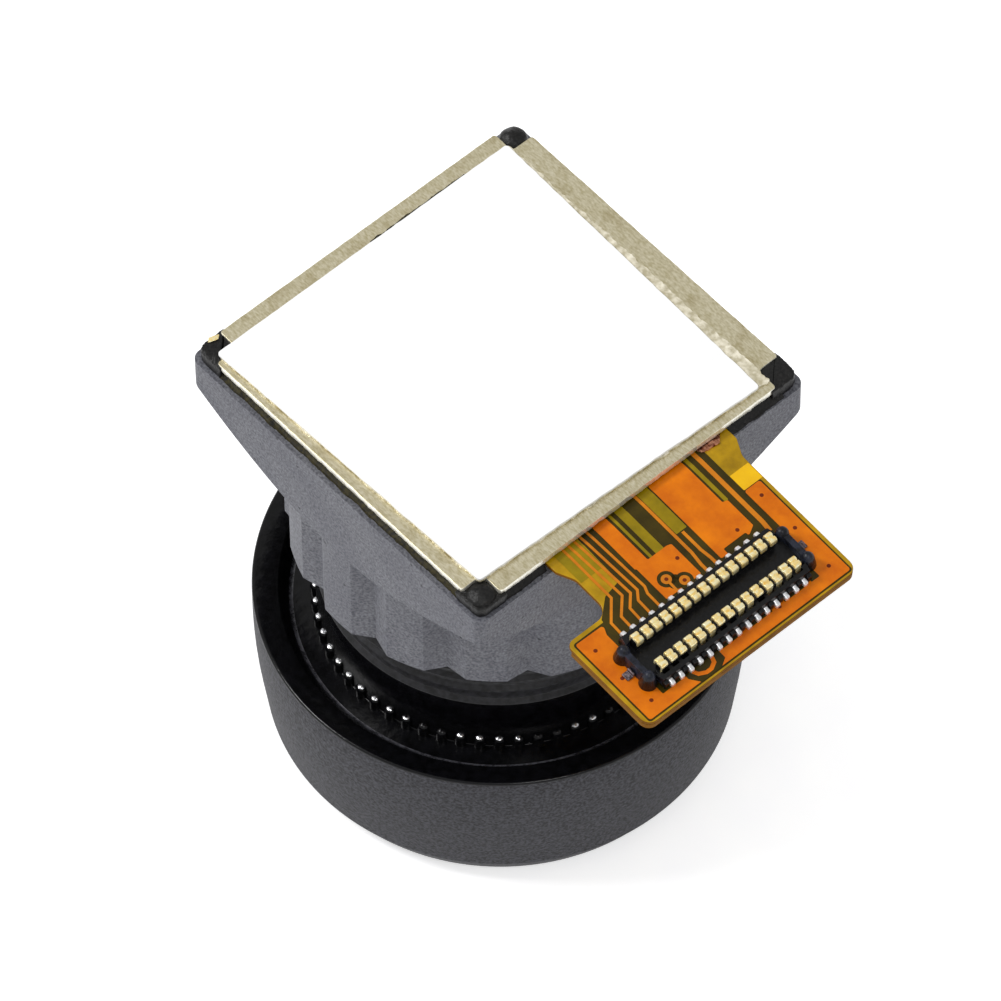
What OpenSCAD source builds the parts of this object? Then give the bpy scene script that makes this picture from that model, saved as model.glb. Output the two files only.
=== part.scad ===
// Wide-angle camera module: a fluted lens holder glued under a rigid-flex
// board, a threaded lens screwed into the holder, and a short film tail
// that carries a 30-contact board-to-board plug.
// Frame: the optical axis is Z, the lens front rim lies in the plane z = 0,
// +Z points to the back of the module, and the film tail leaves towards +X.
// All sizes are in millimetres.

/* [Lens head] */
// Diameter of the straight band of the lens head
head_d = 16.16; // [15.9:0.02:16.8]
// Height of the lens head from its front rim to its rear rim
head_h = 6.2; // [6:0.05:6.6]
// Diameter of the flat front rim
front_rim_d = 14.5; // [14.2:0.1:15]
// Height of the chamfer round the front rim
front_chamfer_h = 0.95; // [0.6:0.05:1.2]
// Diameter where the front chamfer meets the drafted wall
draft_d = 15.52; // [15.2:0.02:15.8]
// Height at which the drafted wall meets the straight band
draft_h = 3.8; // [3:0.1:4.4]
// Width of the dished rear rim
rim_w = 0.86; // [0.6:0.02:1]
// Fall of the rear rim towards the axis
rim_fall = 0.28; // [0.1:0.02:0.4]
// Break of the sharp edges of the head
edge_break = 0.08; // [0.04:0.02:0.14]
// Depth of the rear recess below the rear rim
recess_depth = 0.9; // [0.6:0.05:1]
// Radial width of the sloped wall of the rear recess
recess_slope_w = 0.3; // [0.1:0.05:0.4]

/* [Grip teeth] */
// Number of round grip teeth at the foot of the barrel
tooth_count = 60; // [48:1:66]
// Diameter of one grip tooth
tooth_d = 0.44; // [0.36:0.02:0.5]
// Height of the grip teeth above the floor of the rear recess
tooth_h = 0.66; // [0.4:0.02:0.9]

/* [Threaded barrel] */
// Outer diameter of the thread on the barrel
barrel_d = 12; // [11.8:0.1:12.2]
// Length of the barrel behind the rear rim
barrel_h = 8.8; // [8.4:0.1:9.4]
// Chamfer at the rear end of the barrel
barrel_chamfer = 0.35; // [0.2:0.05:0.5]
// Clear diameter of the opening at the rear of the barrel
rear_opening_d = 6; // [5.8:0.1:6.4]

/* [Fits] */
// Radial clearance of each glass and spacer in its bore
glass_fit = 0.05; // [0.03:0.01:0.08]
// Radial clearance between the barrel and the holder
thread_fit = 0.05; // [0.03:0.01:0.08]

/* [Front retaining ring] */
// Outer diameter of the front retaining ring
retainer_d = 13.4; // [13.2:0.05:13.6]
// Bore of the front retaining ring at its rear face
retainer_bore_d = 11.4; // [11.2:0.1:11.8]
// Flare of the ring's bore towards the front, per side
retainer_flare = 0.5; // [0.3:0.05:0.6]
// Thickness of the front retaining ring
retainer_h = 1.25; // [1.15:0.05:1.4]
// Depth of the ring's face behind the front rim
retainer_recess = 0.25; // [0.15:0.05:0.4]
// Width of each of the ring's two spanner slots
slot_w = 0.8; // [0.5:0.05:1]
// Depth of the spanner slots
slot_depth = 0.5; // [0.3:0.05:0.7]

/* [Front group of the optics] */
// Diameter of the front meniscus
glass1_d = 12.8; // [12.6:0.05:12.9]
// Edge thickness of the front meniscus
glass1_edge = 2.14; // [2:0.02:2.2]
// Height of the front meniscus's outer dome
glass1_dome = 1.2; // [0.9:0.05:1.3]
// Depth of the front meniscus's inner hollow
glass1_hollow = 2.2; // [1.9:0.05:2.4]
// Diameter of the front meniscus's inner hollow
glass1_hollow_d = 7.8; // [7.2:0.1:8]
// Section diameter of the front seal ring
seal_section = 0.44; // [0.4:0.02:0.5]
// Spare depth of the seal ring's groove
seal_spare = 0.02; // [0.01:0.01:0.04]
// Diameter of the front group's bore
group_a_d = 8.7; // [8.6:0.02:8.8]
// Length of the spacer between the first and second glass
spacer1_h = 0.66; // [0.6:0.02:0.72]
// Wall of the spacers
spacer_wall = 0.4; // [0.3:0.02:0.5]
// Edge thickness of the second meniscus
glass2_edge = 1.3; // [1.2:0.02:1.4]
// Height of the second meniscus's front dome
glass2_dome = 0.7; // [0.5:0.05:0.9]
// Depth of the second meniscus's rear hollow
glass2_hollow = 1.05; // [0.8:0.05:1.15]
// Diameter of the second meniscus's rear hollow
glass2_hollow_d = 5; // [4.6:0.1:5.6]
// Length of the spacer between the second and third glass
spacer2_h = 1.3; // [1.2:0.02:1.4]
// Edge thickness of the third glass
glass3_edge = 1; // [0.9:0.02:1.1]
// Height of the third glass's front dome
glass3_dome = 0.5; // [0.3:0.05:0.7]
// Height of the third glass's rear dome
glass3_rear_dome = 0.45; // [0.3:0.05:0.6]

/* [Rear group of the optics] */
// Diameter of the rear group's bore
group_b_d = 7.5; // [7.4:0.02:7.6]
// Length of the spacer in front of the aperture stop
spacer3_h = 1.1; // [1:0.02:1.2]
// Thickness of the aperture stop
stop_t = 0.15; // [0.1:0.01:0.2]
// Diameter of the aperture
stop_d = 2.6; // [2:0.1:3]
// Edge thickness of the doublet's front glass
glass4_edge = 0.5; // [0.44:0.02:0.6]
// Height of the cemented curve of the doublet
doublet_dome = 1.2; // [1:0.05:1.3]
// Thickness of the cement film in the doublet
cement_t = 0.03; // [0.02:0.01:0.05]
// Edge thickness of the doublet's rear glass
glass5_edge = 2.32; // [2.2:0.02:2.4]
// Length of the spacer behind the doublet
spacer4_h = 0.9; // [0.84:0.02:1]
// Edge thickness of the last glass
glass6_edge = 1.3; // [1.2:0.02:1.4]
// Height of the last glass's front dome
glass6_dome = 0.55; // [0.3:0.05:0.7]
// Height of the last glass's rear dome
glass6_rear_dome = 0.38; // [0.2:0.02:0.5]
// Free border between a curved glass face and the ring that holds it
glass_border = 0.2; // [0.1:0.02:0.3]

/* [Lens holder] */
// Side of the holder's square flange, and diameter of its fluted barrel
flange_side = 13.8; // [13.7:0.05:14.2]
// Radius of the flange's upright corners
flange_corner_r = 0.38; // [0.3:0.02:0.8]
// Height of the flange's upright corner edges
flange_edge_h = 1.27; // [1:0.05:1.5]
// Angle of the conical undercut below the flange, from level
undercut_angle = 37.6; // [32:0.2:42]
// Distance that the undercut cone starts inside the flutes
cone_cover = 0.1; // [0.05:0.01:0.2]
// Distance from the head's rear rim to the holder's front edge
focus_gap = 4.15; // [3.8:0.05:4.5]
// Number of flutes round the holder's barrel
flute_count = 16; // [12:1:18]
// Depth of each V-shaped flute
flute_depth = 0.38; // [0.2:0.02:0.46]
// Width of each flute's mouth
flute_w = 1.55; // [1.1:0.05:1.8]
// Height of the locking glue below the holder's front edge
lock_glue_h = 0.42; // [0.3:0.02:0.5]
// Direction at which the locking glue starts, round the axis from +X
lock_glue_at = -87; // [-90:1:-80]
// Angle that the locking glue spans
lock_glue_span = 17; // [10:1:24]
// Free space between the barrel's rear end and the holder's web
rear_gap = 0.3; // [0.2:0.05:0.5]
// Thickness of the web that carries the filter
web_t = 0.65; // [0.55:0.05:0.8]
// Depth of the sensor room
room_depth = 1.8; // [1.5:0.05:2]
// Side of the sensor room
room_side = 10.4; // [10.2:0.1:10.8]
// Radius of the sensor room's corners
room_corner_r = 0.6; // [0.4:0.05:0.9]
// Side of the light window in the web
window_side = 6.4; // [6:0.1:6.8]

/* [Filter and sensor] */
// Side of the infrared filter
filter_side = 7.4; // [7.2:0.05:7.8]
// Thickness of the infrared filter
filter_t = 0.3; // [0.2:0.02:0.34]
// Play of the filter in its pocket, per side
filter_play = 0.1; // [0.05:0.01:0.15]
// Depth of the filter pocket
filter_pocket = 0.35; // [0.34:0.01:0.42]
// Size of the image sensor along X
sensor_x = 7.2; // [6.8:0.1:7.6]
// Size of the image sensor along Y
sensor_y = 6.4; // [6:0.1:6.8]
// Thickness of the image sensor
sensor_t = 0.4; // [0.3:0.02:0.5]
// Thickness of the sensor's cover glass
cover_glass_t = 0.4; // [0.3:0.02:0.5]
// Width of the cover glass's free border
cover_inset = 0.12; // [0.05:0.01:0.2]
// Number of capacitors on each side of the sensor
cap_count = 5; // [3:1:6]
// Spacing of the capacitors
cap_pitch = 1.5; // [1.3:0.05:1.6]
// Length of one capacitor
cap_l = 1; // [0.8:0.05:1.1]
// Width and height of one capacitor
cap_w = 0.5; // [0.4:0.02:0.56]

/* [Board, plate and backing] */
// Thickness of the glue between the holder and the board
bond_t = 0.06; // [0.04:0.01:0.12]
// Width of the glue band between the holder and the board
bond_w = 1.1; // [0.8:0.05:1.3]
// Thickness of the rigid board
board_t = 0.27; // [0.25:0.01:0.4]
// Distance that the board lies inside the plate's edge
board_inset = 0.1; // [0.05:0.01:0.15]
// Side of the metal stiffener plate
plate_side = 13.34; // [13.2:0.02:13.6]
// Thickness of the stiffener plate
plate_t = 0.26; // [0.2:0.01:0.3]
// Side of the square notches in the plate's corners
corner_notch = 0.85; // [0.75:0.01:0.95]
// Diameter of the glue dots in the corner notches
dot_d = 0.94; // [0.8:0.02:1]
// Play between a glue dot and the notch's edges
dot_play = 0.02; // [0.01:0.005:0.03]
// Height of the glue dots above the plate
dot_rise = 0.08; // [0.05:0.01:0.2]
// Drop of the glue dots' rims below the plate's top
dot_edge_drop = 0.05; // [0.02:0.01:0.1]
// Distance that the corner glue lies inside the flange's edge
glue_inset = 0.12; // [0.05:0.01:0.2]
// Width of the glue bead along the board's edge
edge_bead = 0.16; // [0.1:0.01:0.18]
// Gap between the glue beads and the film
film_gap = 0.04; // [0.02:0.01:0.1]
// Thickness of the backing adhesive
backing_t = 0.06; // [0.04:0.01:0.1]
// Thickness of the release liner
liner_t = 0.1; // [0.06:0.01:0.16]
// Border of bare plate on the liner's -X side
liner_left = 0.64; // [0.5:0.01:0.7]
// Border of bare plate on the liner's +X side, at its narrow end
liner_right = 0.27; // [0.2:0.01:0.4]
// Border of bare plate on the liner's -Y side, at its narrow end
liner_front = 0.17; // [0.15:0.01:0.4]
// Border on the liner's +Y side, at its narrow end
liner_back = 0.9; // [0.86:0.01:1]
// Amount by which three of the liner's hand-cut edges run out of square
liner_skew = 0.4; // [0:0.02:0.5]
// Border of bare plate beside the adhesive's +Y edge
adhesive_back = 0.83; // [0.7:0.01:0.85]

/* [Film tail] */
// Thickness of the film
film_t = 0.15; // [0.1:0.01:0.18]
// Depth of the film's top face below the plate's lower face
film_drop = 0.1; // [0.06:0.01:0.12]
// Angle at which the film droops
droop = 5; // [0:0.5:8]
// Distance from the optical axis to the start of the droop
bend_x = 7; // [6.9:0.05:7.4]
// Length of the drooping film
tail_l = 6.07; // [5.8:0.01:6.4]
// Length of the film's wide end
tab_l = 3.83; // [3.6:0.01:4]
// Right-hand edge of the film, on the +Y side
tail_right = 3.45; // [3.4:0.05:4]
// Left-hand edge of the film's neck, on the -Y side
neck_left = 3.6; // [3.4:0.05:3.8]
// Film left free beyond the plug's left-hand end
plug_margin_left = 0.72; // [0.7:0.01:0.9]
// Film left free beyond the plug's right-hand end
plug_margin_right = 0.82; // [0.7:0.01:0.9]
// Radius of the fillet between the neck and the wide end
neck_fillet_r = 0.46; // [0.3:0.02:0.7]
// Radius of the wide end's outer corners
tab_corner_r = 0.36; // [0.3:0.02:0.6]
// Radius of the wide end's shoulder corner
shoulder_r = 0.28; // [0.2:0.02:0.5]
// Widening of the film where it leaves the board, per side
root_flare = 0.3; // [0.1:0.02:0.4]
// Length of the widened root before it narrows
root_flat_l = 0.1; // [0.05:0.01:0.2]
// Length of the widened root in all
root_l = 0.7; // [0.5:0.05:1]
// Thickness of the stiffener under the wide end
backer_t = 0.2; // [0.15:0.01:0.3]
// Thickness of the copper under its cover film
copper_t = 0.02; // [0.01:0.005:0.03]
// Lower edge of the copper field on the neck, along Y
neck_copper_y = -1.9; // [-2.4:0.1:-1]
// Gap between the copper fields and the plug
copper_gap = 0.06; // [0.04:0.01:0.08]
// Bare border of the film beside the copper
copper_border = 0.22; // [0.15:0.01:0.3]

/* [Plug connector] */
// Number of contacts in each row
contact_count = 15; // [11:1:16]
// Pitch of the contacts
contact_pitch = 0.4; // [0.36:0.01:0.42]
// Width of one contact
contact_w = 0.22; // [0.18:0.01:0.24]
// Thickness of the contact strip
contact_t = 0.08; // [0.06:0.01:0.1]
// Distance between the centre lines of the two rows
row_spacing = 1.18; // [1.1:0.02:1.3]
// Distance from the film's free end to the connector's centre line
plug_setback = 1.74; // [1.7:0.01:1.9]
// Height of the contacts above the film
plug_h = 0.74; // [0.66:0.02:0.84]
// Thickness of the long walls that the contacts wrap round
wall_t = 0.3; // [0.24:0.02:0.34]
// Thickness of the contact crowns
crown_t = 0.14; // [0.12:0.01:0.18]
// Rounding of the contact crowns
crown_r = 0.1; // [0.06:0.01:0.12]
// Radius of the groove across each contact crown
crown_groove_r = 0.045; // [0.02:0.005:0.06]
// Length of the contact hooks that turn down inside the plug
hook_h = 0.12; // [0.08:0.01:0.2]
// Reach of the contact feet beyond the long walls
foot_reach = 0.46; // [0.4:0.02:0.54]
// Reach of the outer rails that the contact feet leave under
block_reach = 0.26; // [0.22:0.02:0.32]
// Play between the moulded blocks and the contacts beside them
block_play = 0.02; // [0.01:0.005:0.03]
// Height of the outer rails
block_h = 0.46; // [0.36:0.02:0.5]
// Thickness of the plug's floor
floor_t = 0.18; // [0.12:0.02:0.24]
// Diameter of the four rounded guide posts
post_d = 0.62; // [0.56:0.02:0.74]
// Distance from the last contact to the guide posts' centre
post_gap = 0.54; // [0.54:0.01:0.7]
// Height of the rounded tops of the guide posts
post_dome = 0.2; // [0.1:0.02:0.3]
// Drop of the guide posts' tops below the contact crowns
post_drop = 0.1; // [0.04:0.01:0.14]
// Thickness of the walls between the guide posts
end_wall_w = 0.3; // [0.2:0.02:0.36]
// Height of the walls between the guide posts
end_wall_h = 0.48; // [0.36:0.02:0.56]
// Height of the two metal anchors
anchor_h = 0.2; // [0.14:0.02:0.3]
// Length of the feet of the two metal anchors
anchor_l = 0.3; // [0.2:0.02:0.4]
// Width of the two metal anchors
anchor_w = 0.3; // [0.2:0.02:0.36]
// Rise of each solder fillet above its contact foot
solder_rise = 0.05; // [0.02:0.01:0.08]
// Length of each solder fillet beyond its contact foot
solder_l = 0.2; // [0.12:0.01:0.26]

/* [Hidden] */
$fn = 96;
eps = 0.01;
overreach = 1;

// Heights of the lens housing
head_r = head_d / 2;
barrel_r = barrel_d / 2;
recess_z = head_h - recess_depth;
barrel_top_z = head_h + barrel_h;
grip_r = barrel_r;

// Heights of the optical stack, from the front to the back
glass1_z = retainer_recess + retainer_h;
seat1_z = glass1_z + glass1_edge;
glass2_z = seat1_z + spacer1_h;
spacer2_z = glass2_z + glass2_edge;
glass3_z = spacer2_z + spacer2_h;
seat3_z = glass3_z + glass3_edge;
stop_z = seat3_z + spacer3_h;
glass4_z = stop_z + stop_t;
glass5_z = glass4_z + glass4_edge + cement_t;
spacer4_z = glass5_z + glass5_edge;
glass6_z = spacer4_z + spacer4_h;
seat6_z = glass6_z + glass6_edge;

// Radii of the optical stack
group_a_r = group_a_d / 2 - glass_fit;
group_b_r = group_b_d / 2 - glass_fit;
spacer_a_r = group_a_r - spacer_wall;
spacer_b_r = group_b_r - spacer_wall;
seal_r = glass1_d / 2 - seal_section / 2 - glass_fit;

// Heights of the holder and of the layers behind it
holder_z = head_h + focus_gap;
web_z = barrel_top_z + rear_gap;
room_z = web_z + web_t;
flange_top_z = room_z + room_depth;
board_z = flange_top_z + bond_t;
plate_z = board_z + board_t;
plate_top_z = plate_z + plate_t;
liner_z = plate_top_z + backing_t;
pocket_z = room_z - filter_pocket;

// Plan sizes of the board, the plate and their corner notches
plate_half = plate_side / 2;
board_half = plate_half - board_inset;
notch_x = plate_half - corner_notch;
dot_x = notch_x + dot_d / 2 + dot_play;

// The film's top face and the plug's place on it
film_top_z = plate_z - film_drop;
tab_x = tail_l - tab_l;
plug_x = tail_l - plug_setback;
plug_half_l = (contact_count - 1) / 2 * contact_pitch;
post_y = plug_half_l + post_gap;
plug_end_y = post_y + post_d / 2;
plug_y = tail_right - plug_margin_right - plug_end_y;
tab_left = plug_margin_left + plug_end_y - plug_y;
wall_x = row_spacing / 2;
anchor_y = post_y + end_wall_w / 2;
wall_h = plug_h - crown_t;
foot_end_x = wall_x + wall_t / 2 + foot_reach;

// Sphere radius of a cap that rises by sag over a clear radius c
function cap_radius(c, sag) = (c * c + sag * sag) / (2 * sag);

// The meridian section of a cap, domed towards +Z above z = 0
module cap_section(c, sag) {
    r = cap_radius(c, sag);
    intersection() {
        translate([0, sag - r]) circle(r);
        square([c, sag]);
    }
}

// A glass between two levels: a positive sag bulges outwards, a negative
// one hollows the face, and zero leaves it flat
module glass(r, z0, z1, front_c, front_sag, rear_c, rear_sag) {
    rotate_extrude() difference() {
        union() {
            translate([0, z0]) square([r, z1 - z0]);
            if (front_sag > 0)
                translate([0, z0]) mirror([0, 1]) cap_section(front_c, front_sag);
            if (rear_sag > 0)
                translate([0, z1]) cap_section(rear_c, rear_sag);
        }
        if (front_sag < 0)
            translate([0, z0]) cap_section(front_c, -front_sag);
        if (rear_sag < 0)
            translate([0, z1]) mirror([0, 1]) cap_section(rear_c, -rear_sag);
    }
}

// A plain ring between two levels
module ring(outer_r, inner_r, z0, z1) {
    translate([0, 0, z0]) difference() {
        cylinder(h = z1 - z0, r = outer_r);
        translate([0, 0, -eps]) cylinder(h = z1 - z0 + 2 * eps, r = inner_r);
    }
}

// A rectangle with round corners, centred on the origin
module rounded_rect(w, l, r) {
    square([w - 2 * r, l], center = true);
    square([w, l - 2 * r], center = true);
    for (x = [-1, 1], y = [-1, 1])
        translate([x * (w / 2 - r), y * (l / 2 - r)]) circle(r);
}

// A square with a square notch in each corner
module notched_square(half, notch_from) {
    square([2 * half, 2 * notch_from], center = true);
    square([2 * notch_from, 2 * half], center = true);
}

module four_corners(x) {
    for (sx = [-1, 1], sy = [-1, 1]) translate([sx * x, sy * x]) children();
}

// ---- lens ----

// One upright grip tooth with a rounded top
module grip_tooth() {
    r = tooth_d / 2;
    rotate_extrude() {
        square([r, tooth_h - r]);
        intersection() {
            translate([0, tooth_h - r]) circle(r);
            square([r, tooth_h]);
        }
    }
}

// Turned aluminium housing: chamfered and drafted head, dished rear rim,
// rear recess with grip teeth, threaded barrel and stepped optical bores
module lens_housing() {
    rim_r = head_r - rim_w;
    color("#2b2b2e") difference() {
        union() {
            rotate_extrude() polygon([
                [0, 0],
                [front_rim_d / 2, 0],
                [draft_d / 2, front_chamfer_h],
                [head_r, draft_h],
                [head_r, head_h - edge_break],
                [head_r - edge_break, head_h],
                [rim_r, head_h - rim_fall],
                [rim_r - edge_break, head_h - rim_fall - edge_break],
                [rim_r - recess_slope_w, recess_z],
                [barrel_r, recess_z],
                [barrel_r, barrel_top_z - barrel_chamfer],
                [barrel_r - barrel_chamfer, barrel_top_z],
                [0, barrel_top_z]
            ]);
            for (i = [0 : tooth_count - 1])
                rotate(i * 360 / tooth_count)
                    translate([grip_r, 0, recess_z - eps]) grip_tooth();
        }
        translate([0, 0, -eps])
            cylinder(h = glass1_z + eps, r = retainer_d / 2 + glass_fit);
        cylinder(h = seat1_z, r = glass1_d / 2 + glass_fit);
        ring(glass1_d / 2 + glass_fit, seal_r - seal_section / 2 - glass_fit,
             seat1_z - eps, seat1_z + seal_section + seal_spare);
        cylinder(h = seat3_z, r = group_a_d / 2);
        cylinder(h = seat6_z, r = group_b_d / 2);
        cylinder(h = barrel_top_z + eps, r = rear_opening_d / 2);
    }
}

// Threaded ring with a flared bore and two spanner slots in its face
module front_retaining_ring() {
    color("#1d1d20") difference() {
        translate([0, 0, retainer_recess])
            cylinder(h = retainer_h, r = retainer_d / 2);
        translate([0, 0, retainer_recess - eps])
            cylinder(h = retainer_h + 2 * eps,
                     r1 = retainer_bore_d / 2 + retainer_flare,
                     r2 = retainer_bore_d / 2);
        translate([-retainer_d, -slot_w / 2, retainer_recess - eps])
            cube([2 * retainer_d, slot_w, slot_depth + eps]);
    }
}

// Rubber ring between the front meniscus and its seat
module front_seal() {
    color("#141414") rotate_extrude()
        translate([seal_r, seat1_z + (seal_section + seal_spare) / 2])
            circle(seal_section / 2);
}

module front_meniscus() {
    color("#9fb4c4") glass(glass1_d / 2, glass1_z, seat1_z,
        retainer_bore_d / 2 - glass_border, glass1_dome,
        glass1_hollow_d / 2, -glass1_hollow);
}

module front_spacer() {
    color("#1a1a1c") ring(group_a_r, spacer_a_r, seat1_z, glass2_z);
}

module second_meniscus() {
    color("#a6bcc9") glass(group_a_r, glass2_z, spacer2_z,
        spacer_a_r - glass_border, glass2_dome,
        glass2_hollow_d / 2, -glass2_hollow);
}

module middle_spacer() {
    color("#1a1a1c") ring(group_a_r, spacer_a_r, spacer2_z, glass3_z);
}

module third_glass() {
    color("#a6bcc9") glass(group_a_r, glass3_z, seat3_z,
        spacer_a_r - glass_border, glass3_dome,
        spacer_b_r - glass_border, glass3_rear_dome);
}

module stop_spacer() {
    color("#1a1a1c") ring(group_b_r, spacer_b_r, seat3_z, stop_z);
}

module aperture_stop() {
    color("#101010") ring(group_b_r, stop_d / 2, stop_z, glass4_z);
}

module doublet_front_glass() {
    color("#a6bcc9") glass(group_b_r, glass4_z, glass4_z + glass4_edge,
        0, 0, spacer_b_r, doublet_dome);
}

module doublet_rear_glass() {
    color("#b7c6bf") glass(group_b_r, glass5_z, spacer4_z,
        spacer_b_r, -doublet_dome, 0, 0);
}

module rear_spacer() {
    color("#1a1a1c") ring(group_b_r, spacer_b_r, spacer4_z, glass6_z);
}

module rear_glass() {
    color("#a6bcc9") glass(group_b_r, glass6_z, seat6_z,
        spacer_b_r - glass_border, glass6_dome,
        rear_opening_d / 2 - glass_border, glass6_rear_dome);
}

// ---- holder ----

// The fluted circle of the holder's barrel
module fluted_circle(r) {
    difference() {
        circle(r);
        for (i = [0 : flute_count - 1])
            rotate((i + 0.5) * 360 / flute_count)
                polygon([[r - flute_depth, 0],
                         [r + flute_depth, -flute_w],
                         [r + flute_depth, flute_w]]);
    }
}

// Moulded holder: square flange whose corners are undercut by a cone, and a
// fluted barrel with a bore for the lens, a filter web and a sensor room
module lens_holder() {
    barrel_outer_r = flange_side / 2;
    corner_reach = flange_side / 2 * sqrt(2) - flange_corner_r * (sqrt(2) - 1);
    cone_top_z = flange_top_z - flange_edge_h;
    cone_foot_r = barrel_outer_r - flute_depth - cone_cover;
    cone_foot_z = cone_top_z - (corner_reach - cone_foot_r) * tan(undercut_angle);
    color("#6e6e74") difference() {
        union() {
            translate([0, 0, holder_z])
                linear_extrude(flange_top_z - holder_z) fluted_circle(barrel_outer_r);
            intersection() {
                translate([0, 0, cone_foot_z])
                    linear_extrude(flange_top_z - cone_foot_z)
                        rounded_rect(flange_side, flange_side, flange_corner_r);
                rotate_extrude() polygon([
                    [0, cone_foot_z],
                    [cone_foot_r, cone_foot_z],
                    [corner_reach, cone_top_z],
                    [corner_reach + overreach, cone_top_z],
                    [corner_reach + overreach, flange_top_z],
                    [0, flange_top_z]
                ]);
            }
        }
        translate([0, 0, holder_z - eps])
            cylinder(h = web_z - holder_z + eps, r = barrel_r + thread_fit);
        translate([0, 0, room_z])
            linear_extrude(room_depth + eps)
                rounded_rect(room_side, room_side, room_corner_r);
        translate([0, 0, pocket_z]) linear_extrude(filter_pocket + eps)
            square(filter_side + 2 * filter_play, center = true);
        translate([0, 0, web_z - eps]) linear_extrude(web_t + 2 * eps)
            square(window_side, center = true);
    }
}

// Locking glue run into one flute at the holder's front edge
module thread_glue() {
    color("#17171a") translate([0, 0, holder_z]) rotate(lock_glue_at)
        rotate_extrude(angle = lock_glue_span) intersection() {
            translate([barrel_r + thread_fit, 0]) circle(lock_glue_h);
            translate([barrel_r + thread_fit, -lock_glue_h]) square(lock_glue_h);
        }
}

module infrared_filter() {
    color("#c98fa0") translate([0, 0, pocket_z + filter_t / 2])
        cube([filter_side, filter_side, filter_t], center = true);
}

// ---- sensor and board ----

module image_sensor() {
    color("#3a3f46") translate([0, 0, board_z - sensor_t / 2])
        cube([sensor_x, sensor_y, sensor_t], center = true);
}

module sensor_cover_glass() {
    color("#b9c9cf") translate([0, 0, board_z - sensor_t - cover_glass_t / 2])
        cube([sensor_x - 2 * cover_inset, sensor_y - 2 * cover_inset, cover_glass_t],
             center = true);
}

// Two columns of ceramic capacitors beside the sensor
module board_capacitors() {
    cap_x = (sensor_x / 2 + room_side / 2) / 2;
    color("#b08a5a")
        for (side = [-1, 1], i = [0 : cap_count - 1])
            translate([side * cap_x, (i - (cap_count - 1) / 2) * cap_pitch,
                       board_z - cap_w / 2])
                cube([cap_w, cap_l, cap_w], center = true);
}

module holder_bond() {
    color("#33302b") translate([0, 0, flange_top_z]) linear_extrude(bond_t)
        difference() {
            notched_square(board_half, notch_x);
            square(2 * (board_half - bond_w), center = true);
        }
}

module rigid_board() {
    color("#6b4a22") translate([0, 0, board_z]) linear_extrude(board_t)
        notched_square(board_half, notch_x);
}

// Glue bead along one straight stretch of the board's edge, on the +X side
module glue_bead(y0, y1) {
    h = bond_t + board_t;
    translate([board_half, y1, flange_top_z]) rotate([90, 0, 0])
        linear_extrude(y1 - y0) {
            square([edge_bead * 0.6, h - film_gap / 2]);
            intersection() {
                circle(edge_bead);
                square(edge_bead);
            }
        }
}

// Beads on the two free stretches beside the film and on two more sides
module edge_glue() {
    color("#1f1e1c") {
        glue_bead(-notch_x, -neck_left - root_flare - film_gap);
        glue_bead(tail_right + root_flare + film_gap, notch_x);
        rotate(90) glue_bead(-notch_x, notch_x);
        rotate(180) glue_bead(-notch_x, notch_x);
    }
}

module stiffener_plate() {
    color("#cfc5a0") translate([0, 0, plate_z]) linear_extrude(plate_t)
        notched_square(plate_half, notch_x);
}

// Glue run into the corner notches down to the flange: a pad that follows
// the flange's corner, and a domed dot that rises through the notch
module corner_glue() {
    dot_r = dot_d / 2;
    column_h = plate_top_z - flange_top_z - dot_edge_drop;
    pad_side = flange_side - 2 * glue_inset;
    pad_from = notch_x + dot_play;
    color("#23211f") {
        four_corners(dot_x) translate([0, 0, flange_top_z]) rotate_extrude() {
            square([dot_r, column_h]);
            translate([0, column_h]) cap_section(dot_r, dot_rise + dot_edge_drop);
        }
        translate([0, 0, flange_top_z]) linear_extrude(plate_z - flange_top_z)
            intersection() {
                rounded_rect(pad_side, pad_side, flange_corner_r);
                for (turn = [0 : 90 : 270]) rotate(turn)
                    translate([pad_from, pad_from]) square(flange_side);
            }
    }
}

// Plan of the backing, cut clear of the glue dots: its +Y edge lies within
// the plate's by back at the -X end and by back + back_skew at the +X end
module backing_plan(back, back_skew) {
    difference() {
        polygon([
            [liner_left - plate_half, liner_front - plate_half],
            [plate_half - liner_right - liner_skew, liner_front + liner_skew - plate_half],
            [plate_half - liner_right, plate_half - back - back_skew],
            [liner_left - plate_half, plate_half - back]
        ]);
        four_corners(dot_x) circle(dot_d / 2 + dot_play);
    }
}

module backing_adhesive() {
    color("#efe6c8") translate([0, 0, plate_top_z]) linear_extrude(backing_t)
        backing_plan(adhesive_back, 0);
}

module release_liner() {
    color("#ffffff") translate([0, 0, liner_z]) linear_extrude(liner_t)
        backing_plan(liner_back, liner_skew);
}

// ---- film tail ----

// Puts its children on the drooping film: z = 0 is the film's top face and
// x = 0 is the line where the droop starts
module on_film() {
    translate([bend_x, 0, film_top_z]) rotate([0, droop, 0]) children();
}

// What a round corner takes off a square one; turn 0 has the solid at +X, +Y
module corner_cut(x, y, turn, r) {
    translate([x, y]) rotate(turn) difference() {
        translate([-eps, -eps]) square(r + eps);
        translate([r, r]) circle(r);
    }
}

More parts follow.
